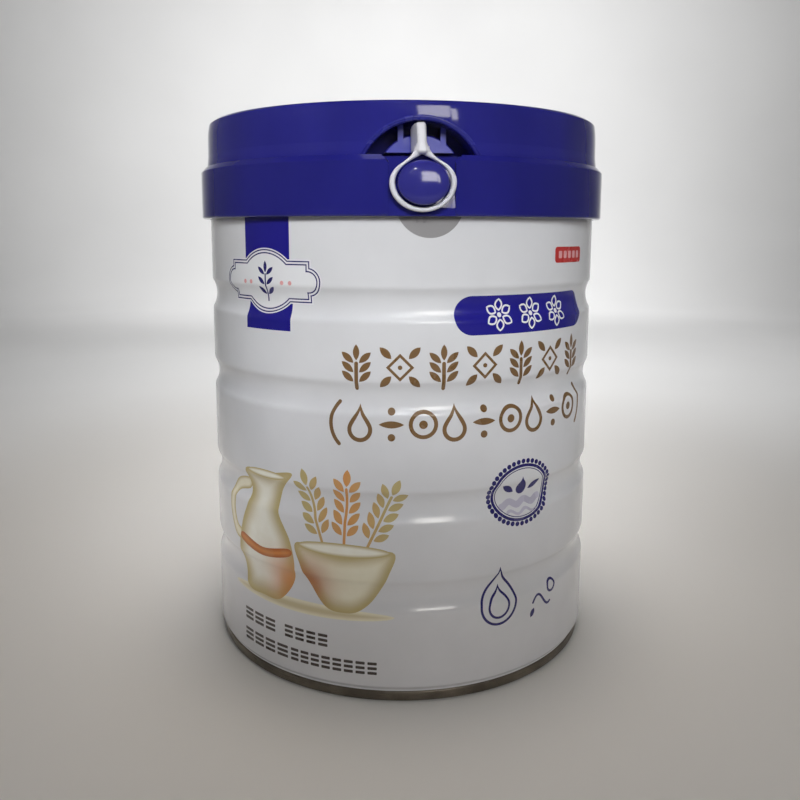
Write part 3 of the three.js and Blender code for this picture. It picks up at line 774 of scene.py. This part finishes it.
def clasp_outlines():
    """The ring's outer and inner edges, seen from the front, with points that match one to one."""
    outer = arc(0, RING_HEIGHT, RING_HALF_WIDTH, RING_LOWER, -90, 0, 24)
    outer += arc(0, RING_HEIGHT, RING_HALF_WIDTH, RING_UPPER, 0, RING_SHOULDER, 12)[1:]
    shoulder = math.radians(RING_SHOULDER)
    along = Vector((-RING_HALF_WIDTH * math.sin(shoulder), RING_UPPER * math.cos(shoulder))).normalized()
    root = Vector((STEM_FRONT_HALF, STEM_ROOT_HEIGHT))
    outer += bezier(outer[-1], outer[-1] + along * 2.3, Vector((ARM_ROOT_HALF, RIDGE_TIP)), root, 16)[1:]
    outer.append(Vector((0, STEM_ROOT_HEIGHT + 0.3)))
    inner = arc(0, RING_HEIGHT, HOLE_HALF_WIDTH, HOLE_LOWER, -90, 0, 24)
    side = Vector((HOLE_HALF_WIDTH, RING_HEIGHT))
    inner += bezier(side, side + Vector((0, 3.5)), Vector(HOLE_PULL), Vector((0, HOLE_APEX)), 29)[1:]
    return mirrored(outer), mirrored(inner)


def clasp_ring():
    """A rounded bar between the two outlines."""
    outer, inner = clasp_outlines()
    section = [math.radians(a) for a in range(0, 360, 15)]
    points = []
    for far, near in zip(outer, inner):
        middle, half = (far + near) / 2, (far - near) / 2
        for angle in section:
            across = math.copysign(abs(math.cos(angle)) ** 0.9, math.cos(angle))
            deep = math.copysign(abs(math.sin(angle)) ** 0.9, math.sin(angle))
            spot = middle + half * across
            set_back = ARM_SET_BACK * min(1, max(0, (spot.y - ARM_BOTTOM) / ARM_RUN))
            depth = RING_MIDDLE_DEPTH - set_back + RING_HALF_DEPTH * deep
            points.append(Vector((spot.x, AXIS_Y - depth, spot.y)))
    return mesh_object("clasp", points, quads(number_rings(len(points), len(section)), closed=True))


def stem_slice(height, back, front, share=1.0):
    """A level slice of the stem: wide at the back, narrow and rounded at the front."""
    half = STEM_FRONT_HALF * share
    right = rounded([
        (STEM_BACK_HALF * share, back, 0),
        (half, front, half * 0.95),
        (0, front, 0),
    ], steps=6)
    left = [Vector((-p.x, p.y)) for p in reversed(right[:-1])]
    return [Vector((p.x, AXIS_Y - p.y, height)) for p in right + left]


def stem_front(height):
    share = (height - STEM_BOTTOM) / (CLASP_HIGH.z - STEM_BOTTOM)
    return STEM_LOW_DEPTH + (STEM_HIGH_DEPTH - STEM_LOW_DEPTH) * share


def clasp_stem():
    """The blade in the recess, and its front ridge, which ends in a round tip above the hole."""
    top = CLASP_HIGH.z
    ridge = loft("stem_ridge", [
        stem_slice(RIDGE_TIP, RING_MIDDLE_DEPTH - 0.6, stem_front(RIDGE_TIP) - 1.1, 0.5),
        stem_slice(RIDGE_TIP + 0.25, RING_MIDDLE_DEPTH - 0.7, stem_front(RIDGE_TIP) - 0.45, 0.82),
        stem_slice(RIDGE_TIP + 0.8, RING_MIDDLE_DEPTH - 1.2, stem_front(RIDGE_TIP)),
        stem_slice(STEM_BACK_BOTTOM + 1, RING_MIDDLE_DEPTH - 2.2, stem_front(STEM_BACK_BOTTOM + 1)),
    ])
    blade = loft("stem_blade", [
        stem_slice(STEM_BACK_BOTTOM, STEM_BACK_DEPTH, stem_front(STEM_BACK_BOTTOM)),
        stem_slice(top - 1.1, STEM_BACK_DEPTH, stem_front(top)),
        stem_slice(top - 0.5, STEM_BACK_DEPTH + 1.5, stem_front(top) - 0.3, 0.94),
        stem_slice(top, STEM_BACK_DEPTH + 3.6, stem_front(top) - 1.4, 0.66),
    ])
    return ridge, blade


def latch_clasp():
    """The ring and stem grown into one moulding, leaning a little to the left as in use."""
    clasp = clasp_ring()
    boolean(clasp, "UNION", *clasp_stem())
    modify(clasp, "REMESH", mode="VOXEL", voxel_size=CLASP_VOXEL * MM)
    modify(clasp, "SMOOTH", factor=0.5, iterations=7)
    apply_modifiers(clasp)
    pivot = Matrix.Translation((0, 0, RING_HEIGHT * MM))
    clasp.data.transform(pivot @ Matrix.Rotation(CLASP_LEAN, 4, "Y") @ pivot.inverted())
    finish_piece(shade(clasp, 60), WHITE_PLASTIC, "white_plastic", "latch_clasp")


# Print: flat outlines of arc length along the wall and height, laid on the can as thin layers of ink

INK_SINK = 0.12


def filled(outlines):
    """A flat mesh of filled outlines. An outline inside another is a hole."""
    curve = bpy.data.curves.new("fill", "CURVE")
    curve.dimensions = "2D"
    curve.fill_mode = "BOTH"
    for outline in outlines:
        spline = curve.splines.new("POLY")
        spline.points.add(len(outline) - 1)
        spline.use_cyclic_u = True
        for point, place in zip(spline.points, outline):
            point.co = (place.x, place.y, 0, 1)
    holder = placed("fill", curve)
    mesh = evaluated(holder)
    shape = bmesh.new()
    shape.from_mesh(mesh)
    bmesh.ops.remove_doubles(shape, verts=shape.verts, dist=1e-4)
    bpy.data.objects.remove(holder)
    bpy.data.meshes.remove(mesh)
    return shape


def sliced(shape, step):
    """Cuts a flat mesh along upright lines, and along level lines that follow the grooves."""
    across = [v.co.x for v in shape.verts]
    up = [v.co.y for v in shape.verts]
    left, right, low, high = min(across), max(across), min(up), max(up)
    levels = [h for h in wall_heights(low, high, 0.5, 200) if low < h < high]
    lines = [(Vector((0, h, 0)), Vector((0, 1, 0))) for h in levels]
    count = int((right - left) / step) + 1
    lines += [(Vector((x, 0, 0)), Vector((1, 0, 0))) for x in spaced(left, right, count)[1:-1]]
    for spot, normal in lines:
        everything = [*shape.verts, *shape.edges, *shape.faces]
        bmesh.ops.bisect_plane(shape, geom=everything, plane_co=spot, plane_no=normal, dist=1e-5)
    bmesh.ops.remove_doubles(shape, verts=shape.verts, dist=2e-3)
    return shape


def on_wall(across, height, lift):
    return on_tin(wall_radius(height) + lift, across / BODY_RADIUS, height)


def ink(name, shapes, material, lift, step=1.2, tone=None):
    """Thin closed layers of ink, one for each shape, which is a list of outlines."""
    points, faces, tones = [], [], []
    for outlines in shapes:
        shape = sliced(filled(outlines), step)
        shape.verts.ensure_lookup_table()
        base, count = len(points), len(shape.verts)
        places = [(v.co.x, v.co.y) for v in shape.verts]
        points += [on_wall(x, y, rise) for rise in (lift, -INK_SINK) for x, y in places]
        if tone:
            shades = [tone(Vector(place)) for place in places]
            tones += shades + shades
        for face in shape.faces:
            corners = [base + v.index for v in face.verts]
            faces.append(corners)
            faces.append([c + count for c in reversed(corners)])
        for edge in shape.edges:
            if len(edge.link_faces) == 1:
                a, b = (base + v.index for v in edge.verts)
                faces.append((a, b, b + count, a + count))
        shape.free()
    piece = mesh_object(name, points, faces)
    if tone:
        layer = piece.data.color_attributes.new("tone", "FLOAT_COLOR", "POINT")
        for item, colour in zip(layer.data, tones):
            item.color = colour
    finish_piece(shade(piece, 40), material, "printed_tin")


def moved(outline, x, y):
    return [p + Vector((x, y)) for p in outline]


def circle(x, y, radius, steps=24):
    return oval(x, y, radius, radius, steps)


def offset_loop(loop, distance):
    """A loop moved sideways, to its left for a positive distance."""
    beside = []
    for before, here, after in zip(loop[-1:] + loop[:-1], loop, loop[1:] + loop[:1]):
        along = ((here - before).normalized() + (after - here).normalized()).normalized()
        beside.append(here + left_of(along) * distance)
    return beside


def band(loop, width):
    """The outlines of a line drawn along a loop."""
    return [offset_loop(loop, -width / 2), offset_loop(loop, width / 2)]


def stroke(path, width):
    """The outline of a line drawn along an open path, with round ends."""
    half = width / 2
    left, right = [], []
    for i, here in enumerate(path):
        before, after = path[max(i - 1, 0)], path[min(i + 1, len(path) - 1)]
        side = left_of((after - before).normalized()) * half
        left.append(here + side)
        right.append(here - side)

    def cap(centre, start):
        angle = math.degrees(math.atan2(start.y - centre.y, start.x - centre.x))
        return arc(centre.x, centre.y, half, half, angle, angle - 180, 6)[1:-1]

    return left + cap(path[-1], left[-1]) + right[::-1] + cap(path[0], right[0])


def leaf(foot, angle, length, width, steps=8):
    """A pointed leaf from its foot, along an angle in degrees."""
    along = heading(angle)
    side = left_of(along)
    foot = Vector(foot)

    def edge(sign):
        return [foot + along * length * t + side * sign * width / 2 * math.sin(math.pi * t) ** 0.8
                for t in spaced(0, 1, steps)]

    return edge(1) + edge(-1)[::-1][1:-1]


def drop(x, y, radius, height, steps=28):
    """A falling drop: round below, and drawn up to a point."""
    side = arc(0, 0, radius, radius, -90, 25, steps // 2)
    last, tip = side[-1], Vector((0, height - radius))
    rise, pull = Vector((-0.42, 0.9)) * radius * 0.75, Vector((0.22, -0.75)) * radius
    side += bezier(last, last + rise, tip + pull, tip, steps // 2)[1:]
    return moved(mirrored(side), x, y)


def smooth_loop(spots):
    """A smooth closed curve through a few points."""
    spots = [Vector(p) for p in spots]
    count = len(spots)
    loop = []
    for i in range(count):
        before, a, b, after = (spots[(i + k) % count] for k in (-1, 0, 1, 2))
        loop += bezier(a, a + (b - before) / 6, b - (after - a) / 6, b, 8)[:-1]
    return loop


# Ribbon and plaque at the left
RIBBON_LEFT = -55.0
RIBBON_RIGHT = -37.4
RIBBON_BOTTOM = 106.2
PLAQUE_X = -46.4
PLAQUE_Z = 120.0
PLAQUE_HALF_WIDTH = 15.6
PLAQUE_HALF_HEIGHT = 5.9
PLAQUE_REACH = 18.9
PLAQUE_RISE = 9.0
LOBE_RADIUS = 4.07
CREST_RADIUS = 12.55
PLAQUE_LINE = 0.36
PLAQUE_GAP = 0.95


def plaque_outline(inset):
    """A plaque with a low arch above and below and a round lobe at each side."""
    width, height = PLAQUE_HALF_WIDTH - inset, PLAQUE_HALF_HEIGHT - inset
    lobe, crest = LOBE_RADIUS - inset, CREST_RADIUS - inset
    lobe_x, crest_y = PLAQUE_REACH - LOBE_RADIUS, PLAQUE_RISE - CREST_RADIUS
    lobe_angle = math.degrees(math.acos((width - lobe_x) / lobe))
    crest_angle = math.degrees(math.asin((height - crest_y) / crest))
    top_right = arc(0, crest_y, crest, crest, 90, crest_angle, 12)
    quarter = top_right + [Vector((width, height))] + arc(lobe_x, 0, lobe, lobe, lobe_angle, 0, 10)
    right = quarter + [Vector((p.x, -p.y)) for p in reversed(quarter[:-1])]
    return moved(mirrored(right), PLAQUE_X, PLAQUE_Z)


def sprig(x, y, height, line, pairs, leaf_length, leaf_width, spread):
    """A stalk with pairs of leaves and one at its tip, each part clear of the next."""
    stalk_top = y + height - leaf_length
    parts = [[stroke([Vector((x, y)), Vector((x, stalk_top - line * 0.6))], line)]]
    for i in range(pairs):
        foot = y + height * 0.16 + (stalk_top - y - height * 0.2) * i / max(pairs - 1, 1)
        for side in (-1, 1):
            angle = 90 - side * spread
            parts.append([leaf((x + side * line * 0.75, foot), angle, leaf_length, leaf_width)])
    parts.append([leaf((x, stalk_top + line * 0.2), 90, leaf_length, leaf_width)])
    return parts


def ribbon_and_plaque():
    ribbon = rectangle(RIBBON_LEFT, RIBBON_RIGHT, RIBBON_BOTTOM, COLLAR_LOW.z + 3)
    ink("ribbon_print", [[ribbon]], INK_BLUE, 0.03)
    ink("plaque_print", [[plaque_outline(-0.25)]], INK_WHITE, 0.05)
    outer = [plaque_outline(0.1), plaque_outline(0.1 + PLAQUE_LINE)]
    inner = [plaque_outline(PLAQUE_GAP), plaque_outline(PLAQUE_GAP + PLAQUE_LINE)]
    ink("plaque_lines", [outer, inner], INK_NAVY, 0.07, 0.9)
    ink("plaque_sprig", sprig(PLAQUE_X, PLAQUE_Z - 5.6, 11.2, 0.5, 3, 3.4, 1.25, 50), INK_NAVY, 0.07)
    dots = [[circle(PLAQUE_X + side * x, PLAQUE_Z - 0.4, 0.62)] for side in (-1, 1) for x in (6.2, 9.0)]
    ink("plaque_dots", dots, INK_PINK, 0.07)


# Pill and small label at the right
PILL_LEFT = 9.3
PILL_RIGHT = 60.8
PILL_BOTTOM = 105.8
PILL_TOP = 116.5


def capsule(left, right, bottom, top):
    radius, middle = (top - bottom) / 2, (top + bottom) / 2
    right_end = arc(right - radius, middle, radius, radius, -90, 90, 24)
    return right_end + arc(left + radius, middle, radius, radius, 90, 270, 24)


def rounded_box(left, right, bottom, top, radius):
    return rounded([(*p, radius) for p in rectangle(left, right, bottom, top)], closed=True, steps=4)


def flower(x, y, radius, line):
    """Six open petals round a dot."""
    parts = [[circle(x, y, radius * 0.16, 16)]]
    for i in range(6):
        angle = 90 + 60 * i
        foot = Vector((x, y)) + heading(angle) * radius * 0.3
        parts.append(band(leaf(foot, angle, radius * 0.7, radius * 0.5, 10), line))
    return parts


def pill():
    ink("pill_print", [[capsule(PILL_LEFT, PILL_RIGHT, PILL_BOTTOM, PILL_TOP)]], INK_BLUE, 0.03)
    marks = []
    for x in (23.0, 34.2, 45.4):
        marks += flower(x, (PILL_BOTTOM + PILL_TOP) / 2, 4.3, 0.5)
    ink("pill_flowers", marks, INK_WHITE, 0.05)


def small_label():
    ink("red_print", [[rounded_box(43.6, 59.2, 125.0, 129.6, 1.0)]], INK_RED, 0.03)
    marks = [[rounded_box(x, x + 1.7, 126.3, 128.4, 0.35)] for x in (45.4, 48.0, 50.6, 53.2, 55.8)]
    ink("red_marks", marks, INK_PINK, 0.05)


# Two rows of brown ornament
ROW_LEFT = -23.5
ROW_RIGHT = 60.4
FIRST_ROW_Z = 91.4
SECOND_ROW_Z = 75.6
ROW_HEIGHT = 12.0
ROW_UNITS = 7
BROWN_LINE = 1.05


def lozenge(x, y, radius, line):
    """A diamond drawn with a line, with a dot in it and four leaves outside it."""
    inner = [Vector((x, y)) + heading(angle) * radius * 0.55 for angle in (0, 90, 180, 270)]
    parts = [band(inner, line), [circle(x, y, line * 0.6, 12)]]
    for i in range(4):
        angle = 45 + 90 * i
        foot = Vector((x, y)) + heading(angle) * radius * 0.56
        parts.append([leaf(foot, angle, radius * 0.74, radius * 0.34)])
    return parts


def brown_rows():
    marks = []
    pitch = (ROW_RIGHT - ROW_LEFT) / ROW_UNITS
    for i in range(ROW_UNITS):
        x = ROW_LEFT + pitch * (i + 0.5)
        if i % 2 == 0:
            marks += sprig(x, FIRST_ROW_Z, ROW_HEIGHT, BROWN_LINE, 3, 4.4, 1.8, 48)
        else:
            marks += lozenge(x, FIRST_ROW_Z + ROW_HEIGHT / 2, 6.0, BROWN_LINE)
    middle = SECOND_ROW_Z + ROW_HEIGHT / 2
    for side, x in ((-1, ROW_LEFT - 0.6), (1, ROW_RIGHT + 0.2)):
        bow = arc(x - side * 7.6, middle, 8.4, 8.4, 90 - side * 90 - 44, 90 - side * 90 + 44, 14)
        marks.append([stroke(bow, BROWN_LINE)])
    count = 9
    pitch = (ROW_RIGHT - ROW_LEFT - 5) / count
    for i in range(count):
        x = ROW_LEFT + 2.5 + pitch * (i + 0.5)
        if i % 3 == 0:
            marks.append([drop(x, middle - 1.6, 3.5, 10.6), drop(x, middle - 1.6, 2.35, 7.6)])
        elif i % 3 == 1:
            marks.append([leaf((x - 3.5, middle), 0, 7.0, 2.0)])
            marks += [[circle(x, middle + rise, 1.05, 16)] for rise in (-3.6, 3.6)]
        else:
            marks.append(band(circle(x, middle, 3.5, 32), BROWN_LINE * 1.05))
            marks.append([circle(x, middle, 1.2, 16)])
    ink("brown_rows", marks, INK_BROWN, 0.04)


# Oval seal, drop outline and curl
SEAL_X = 32.2
SEAL_Z = 59.1
SEAL_HALF_WIDTH = 12.1
SEAL_HALF_HEIGHT = 9.9
DROP_X = 24.6
DROP_Z = 26.6


def seal_oval(inset, steps=64):
    return oval(SEAL_X, SEAL_Z, SEAL_HALF_WIDTH - inset, SEAL_HALF_HEIGHT - inset, steps)


def seal():
    beads = [[circle(spot.x, spot.y, 0.74, 10)] for spot in seal_oval(0.6, 40)]
    lines = [[seal_oval(1.42), seal_oval(2.3)], [seal_oval(2.65), seal_oval(2.9)]]
    middle = [
        [drop(SEAL_X, SEAL_Z + 1.2, 1.9, 5.4)],
        [leaf((SEAL_X - 2.9, SEAL_Z + 0.4), 150, 4.8, 1.9)],
        [leaf((SEAL_X + 2.9, SEAL_Z + 0.4), 30, 4.8, 1.9)],
    ]
    ink("seal_print", beads + lines + middle, INK_NAVY, 0.04)
    waves = []
    for level, half, width in ((-3.0, 7.2, 1.9), (-5.6, 5.2, 0.8)):
        path = [Vector((x, level + 0.6 * math.sin(x * 1.1))) for x in spaced(-half, half, 28)]
        waves.append([stroke(moved(path, SEAL_X, SEAL_Z), width)])
    ink("seal_waves", waves, INK_LILAC, 0.04)


def drop_and_curl():
    marks = [
        [drop(DROP_X, DROP_Z, 6.35, 17.9, 48), drop(DROP_X, DROP_Z, 5.6, 15.9, 48)],
        [drop(DROP_X, DROP_Z - 0.6, 3.75, 10.2, 40), drop(DROP_X, DROP_Z - 0.6, 3.05, 8.3, 40)],
    ]
    curl = [Vector((t * 8.0, 2.8 * math.sin(t * 4.6 + 0.5) + t * 2.2)) for t in spaced(0, 1, 20)]
    marks.append([stroke(moved(curl, 37.6, 22.4), 0.75)])
    marks.append([leaf((36.6, 19.4), 60, 3.0, 1.6)])
    marks.append(band(circle(46.2, 26.8, 1.8), 0.75))
    ink("drop_print", marks, INK_NAVY, 0.04)


# Two rows of small dark bars at the lower left
BAR_HEIGHT = 0.84
BAR_PITCH = 1.45
BAR_GROUPS = (
    # height, first bar's left end, pitch, width, count
    (17.0, -59.6, 5.1, 4.1, 3),
    (17.0, -41.4, 3.9, 3.0, 4),
    (10.3, -59.8, 5.1, 4.1, 4),
    (10.3, -39.2, 3.5, 2.7, 8),
)


def small_bars():
    marks = []
    for middle, first, pitch, width, count in BAR_GROUPS:
        for left in (first + pitch * i for i in range(count)):
            for bottom in (middle - BAR_HEIGHT / 2 + BAR_PITCH * row for row in (-1, 0, 1)):
                marks.append([rounded_box(left, left + width, bottom, bottom + BAR_HEIGHT, 0.2)])
    ink("small_bars", marks, INK_DARK, 0.04)


# Picture at the lower left: a jug, a bowl and ears of corn in cream, tan and orange
CREAM = Vector(srgb(238, 232, 210)[:3])
PALE = Vector(srgb(244, 242, 232)[:3])
TAN = Vector(srgb(188, 170, 118)[:3])
ORANGE = Vector(srgb(216, 136, 66)[:3])
RUST = Vector(srgb(178, 96, 44)[:3])


def edge_distance(place, loop):
    """How far a place is from the nearest side of a loop."""
    nearest = 1e9
    for a, b in zip(loop, loop[1:] + loop[:1]):
        side = b - a
        share = max(0, min(1, (place - a).dot(side) / max(side.length_squared, 1e-9)))
        nearest = min(nearest, (place - a - side * share).length)
    return nearest


def airbrushed(loop, middle, edge, width, glow=None, glow_at=None, glow_size=1.0):
    """A tone that darkens softly towards a loop, with one soft coloured glow."""
    def tone(place):
        share = min(1, edge_distance(place, loop) / width)
        share = share * share * (3 - 2 * share)
        colour = edge.lerp(middle, share)
        if glow is not None:
            near = math.exp(-((place - Vector(glow_at)).length / glow_size) ** 2)
            colour = colour.lerp(glow, near * 0.85)
        return (*colour, 1.0)
    return tone


JUG = ((-57.6, 26.6), (-50, 25.8), (-42.4, 26.6), (-37.6, 35), (-38.8, 44.5), (-43, 52.5), (-42.4, 59),
       (-37.8, 65.2), (-47, 64), (-57.6, 63.4), (-56, 55.4), (-60.4, 45.8), (-62.2, 36))
BOWL = ((-36.4, 45.2), (-35.4, 38.4), (-31, 30.6), (-26.4, 27), (-22, 26.3), (-17.6, 27), (-13, 30.6),
        (-8.6, 38.4), (-7.6, 45.2), (-22, 43.2))


def corn_ear(foot, angle, length):
    """A stalk with pairs of grains."""
    along = heading(angle)
    side = left_of(along)
    foot = Vector(foot)
    parts = [[stroke([foot, foot + along * length * 0.9], 0.8)]]
    for i in range(5):
        spot = foot + along * length * (0.3 + 0.14 * i)
        for sign in (-1, 1):
            parts.append([leaf(spot + side * sign * 0.75, angle + sign * 42, 4.8, 2.1)])
    parts.append([leaf(foot + along * (length * 0.9 + 0.7), angle, 5.0, 2.3)])
    return parts


def paint(name, outline, lift, *look, step=1.0):
    ink(name, [[outline]], PICTURE, lift, step, airbrushed(outline, *look))


def picture():
    paint("picture_ground", oval(-36, 25.8, 29, 1.9, 48), 0.03, TAN.lerp(CREAM, 0.35), CREAM, 1.6, step=1.5)
    handle = smooth_loop([(-57, 60.4), (-65.4, 57.8), (-68.4, 49.6), (-65.2, 41.4), (-60, 40), (-59.6, 43),
                          (-63.4, 44.6), (-65, 49.6), (-63.2, 54.8), (-57, 57)])
    paint("picture_handle", handle, 0.035, CREAM, TAN, 1.3)
    ears = []
    for x, angle in ((-26.8, 107), (-21.6, 87), (-16.4, 65)):
        ears += corn_ear((x, 42.5), angle, 22.5)
    ink("picture_ears", ears, PICTURE, 0.035, 1.0,
        lambda place: (*ORANGE.lerp(TAN, min(1, 0.25 + abs(place.x + 21) / 16)), 1.0))
    paint("picture_jug", smooth_loop(JUG), 0.045, PALE, TAN, 6.0, ORANGE, (-40.5, 33), 7.0)
    paint("picture_milk", oval(-48.3, 63.5, 8.0, 1.2, 40), 0.06, PALE, TAN, 0.9)
    belly = smooth_loop([(-60.5, 40), (-50, 38), (-39.5, 40), (-39.6, 42.4), (-50, 40.6), (-60.1, 42.6)])
    paint("picture_stripe", belly, 0.06, ORANGE, RUST, 1.6)
    paint("picture_bowl", smooth_loop(BOWL), 0.045, CREAM, TAN, 4.4, RUST, (-32.5, 34), 6.5)
    paint("picture_cream", oval(-22, 44.8, 13.8, 2.0, 48), 0.06, PALE, TAN, 1.3)


# Round grey mark under the latch, half hidden behind the collar
DISC_X = 2.4
DISC_Z = 141.3
DISC_RADIUS = 9.2


def grey_disc():
    ink("grey_print", [[circle(DISC_X, DISC_Z, DISC_RADIUS, 72)]], INK_GREY, 0.03)


# Stage, light and camera

ROOM_RADIUS = 1680
ROOM_HEIGHT = 2400
FLOOR_HEIGHT = -0.02


def stage():
    """A pale floor that curves up into a wall all round."""
    outside = [(0, -40, 0), (ROOM_RADIUS + 20, -40, 0), (ROOM_RADIUS + 20, ROOM_HEIGHT, 0)]
    inside = [(ROOM_RADIUS, ROOM_HEIGHT, 0), (ROOM_RADIUS, FLOOR_HEIGHT, 500), (0, FLOOR_HEIGHT, 0)]
    profile = rounded(outside + inside, steps=16)
    floor = shade(turned("floor", profile, 96), 60)
    nodes = Nodes("floor")
    tone = nodes.spread(nodes.noise(3, 2), 0, 1)
    nodes.feed({"Base Color": nodes.mix(tone, srgb(222, 222, 222), srgb(227, 227, 227)), "Roughness": 0.9})
    floor.data.materials.append(nodes.material)


def panel(name, angle, distance, height, size, power, aim=90.0, spread=180, colour=(1, 1, 1), back=None):
    """A soft light panel at an angle round the tin, facing it unless the way of its back is given."""
    light = bpy.data.lights.new(name, "AREA")
    light.shape = "RECTANGLE"
    light.size, light.size_y = (side * MM for side in size)
    light.energy = power
    light.spread = math.radians(spread)
    light.color = colour
    lamp = placed(name, light)
    lamp.location = on_tin(distance, math.radians(angle), height) * MM
    back = back or lamp.location - Vector((0, AXIS_Y, aim)) * MM
    lamp.rotation_mode = "QUATERNION"
    lamp.rotation_quaternion = back.to_track_quat("Z", "Y")
    lamp.visible_camera = False
    return lamp


def lights():
    """A window of two panes at the right, a soft beam that fades down the tin, and a lit floor."""
    warm, cool = (1.0, 0.97, 0.92), (0.95, 0.985, 1.0)
    up, slanted = Vector((0, 0, 1)), Vector((0, -0.82, 0.57))
    panel("window", 12.5, 900, 455, (272, 210), 1.43, colour=warm)
    panel("window_pane", 23.2, 900, 410, (52, 190), 0.25, colour=warm)
    panel("ceiling", 0, 100, 1300, (500, 500), 0.7, 0, colour=warm)
    panel("ceiling_lamp", -4.6, 900, 721, (50, 36), 0.17, 150)
    fills = [
        panel("beam", -5, 300, 262, (260, 95), 0.048, 86, 20, cool),
        panel("left_side", -55, 240, 240, (160, 80), 0.016, 166, 46, warm),
        panel("left_middle", -34, 320, 100, (30, 50), 0.0004, 80, 14),
        panel("left_low", -85, 320, 46, (80, 24), 0.0038, 43, 16, warm),
        panel("floor_light", 180, 90, 900, (350, 450), 0.18, 0, 34, (1.0, 0.88, 0.74), up),
        panel("wall_light", 172, 800, 900, (1100, 300), 5.2, spread=110, back=slanted),
        panel("wall_foot", 172, 900, 700, (900, 700), 2.0, spread=100, back=up),
        panel("far_floor", 172, 650, 700, (700, 700), 0.8, spread=80, back=up),
        panel("middle_floor", 172, 450, 600, (450, 300), 0.42, spread=70, back=up),
    ]
    for fill in fills:
        fill.visible_glossy = False
    world = bpy.data.worlds.new("studio")
    world.use_nodes = True
    world.node_tree.nodes["Background"].inputs["Strength"].default_value = 0.0
    bpy.context.scene.world = world


CAMERA_ANGLE = math.radians(-4.7)
CAMERA_DISTANCE = 273.1
CAMERA_HEIGHT = 133.3
CAMERA_PITCH = 0.1344
CAMERA_ROLL = -0.0022
CAMERA_LENS = 35.459
CAMERA_SHIFT = (-0.0019, -0.075)


def camera():
    data = bpy.data.cameras.new("camera")
    data.sensor_width = 36
    data.lens = CAMERA_LENS
    data.shift_x, data.shift_y = CAMERA_SHIFT
    data.clip_start = 0.01
    holder = placed("camera", data)
    holder.location = on_tin(CAMERA_DISTANCE, CAMERA_ANGLE, CAMERA_HEIGHT) * MM
    holder.rotation_euler = (math.pi / 2 - CAMERA_PITCH, CAMERA_ROLL, CAMERA_ANGLE)
    bpy.context.scene.camera = holder


tin_shell()
tin_foot()
weld_seam()
lid_collar()
lid_cap()
lid_hinge()
latch_button()
latch_clasp()
grey_disc()
ribbon_and_plaque()
pill()
small_label()
brown_rows()
seal()
drop_and_curl()
small_bars()
picture()
stage()
lights()
camera()
bpy.context.scene.view_settings.view_transform = "Standard"
bpy.context.view_layer.update()
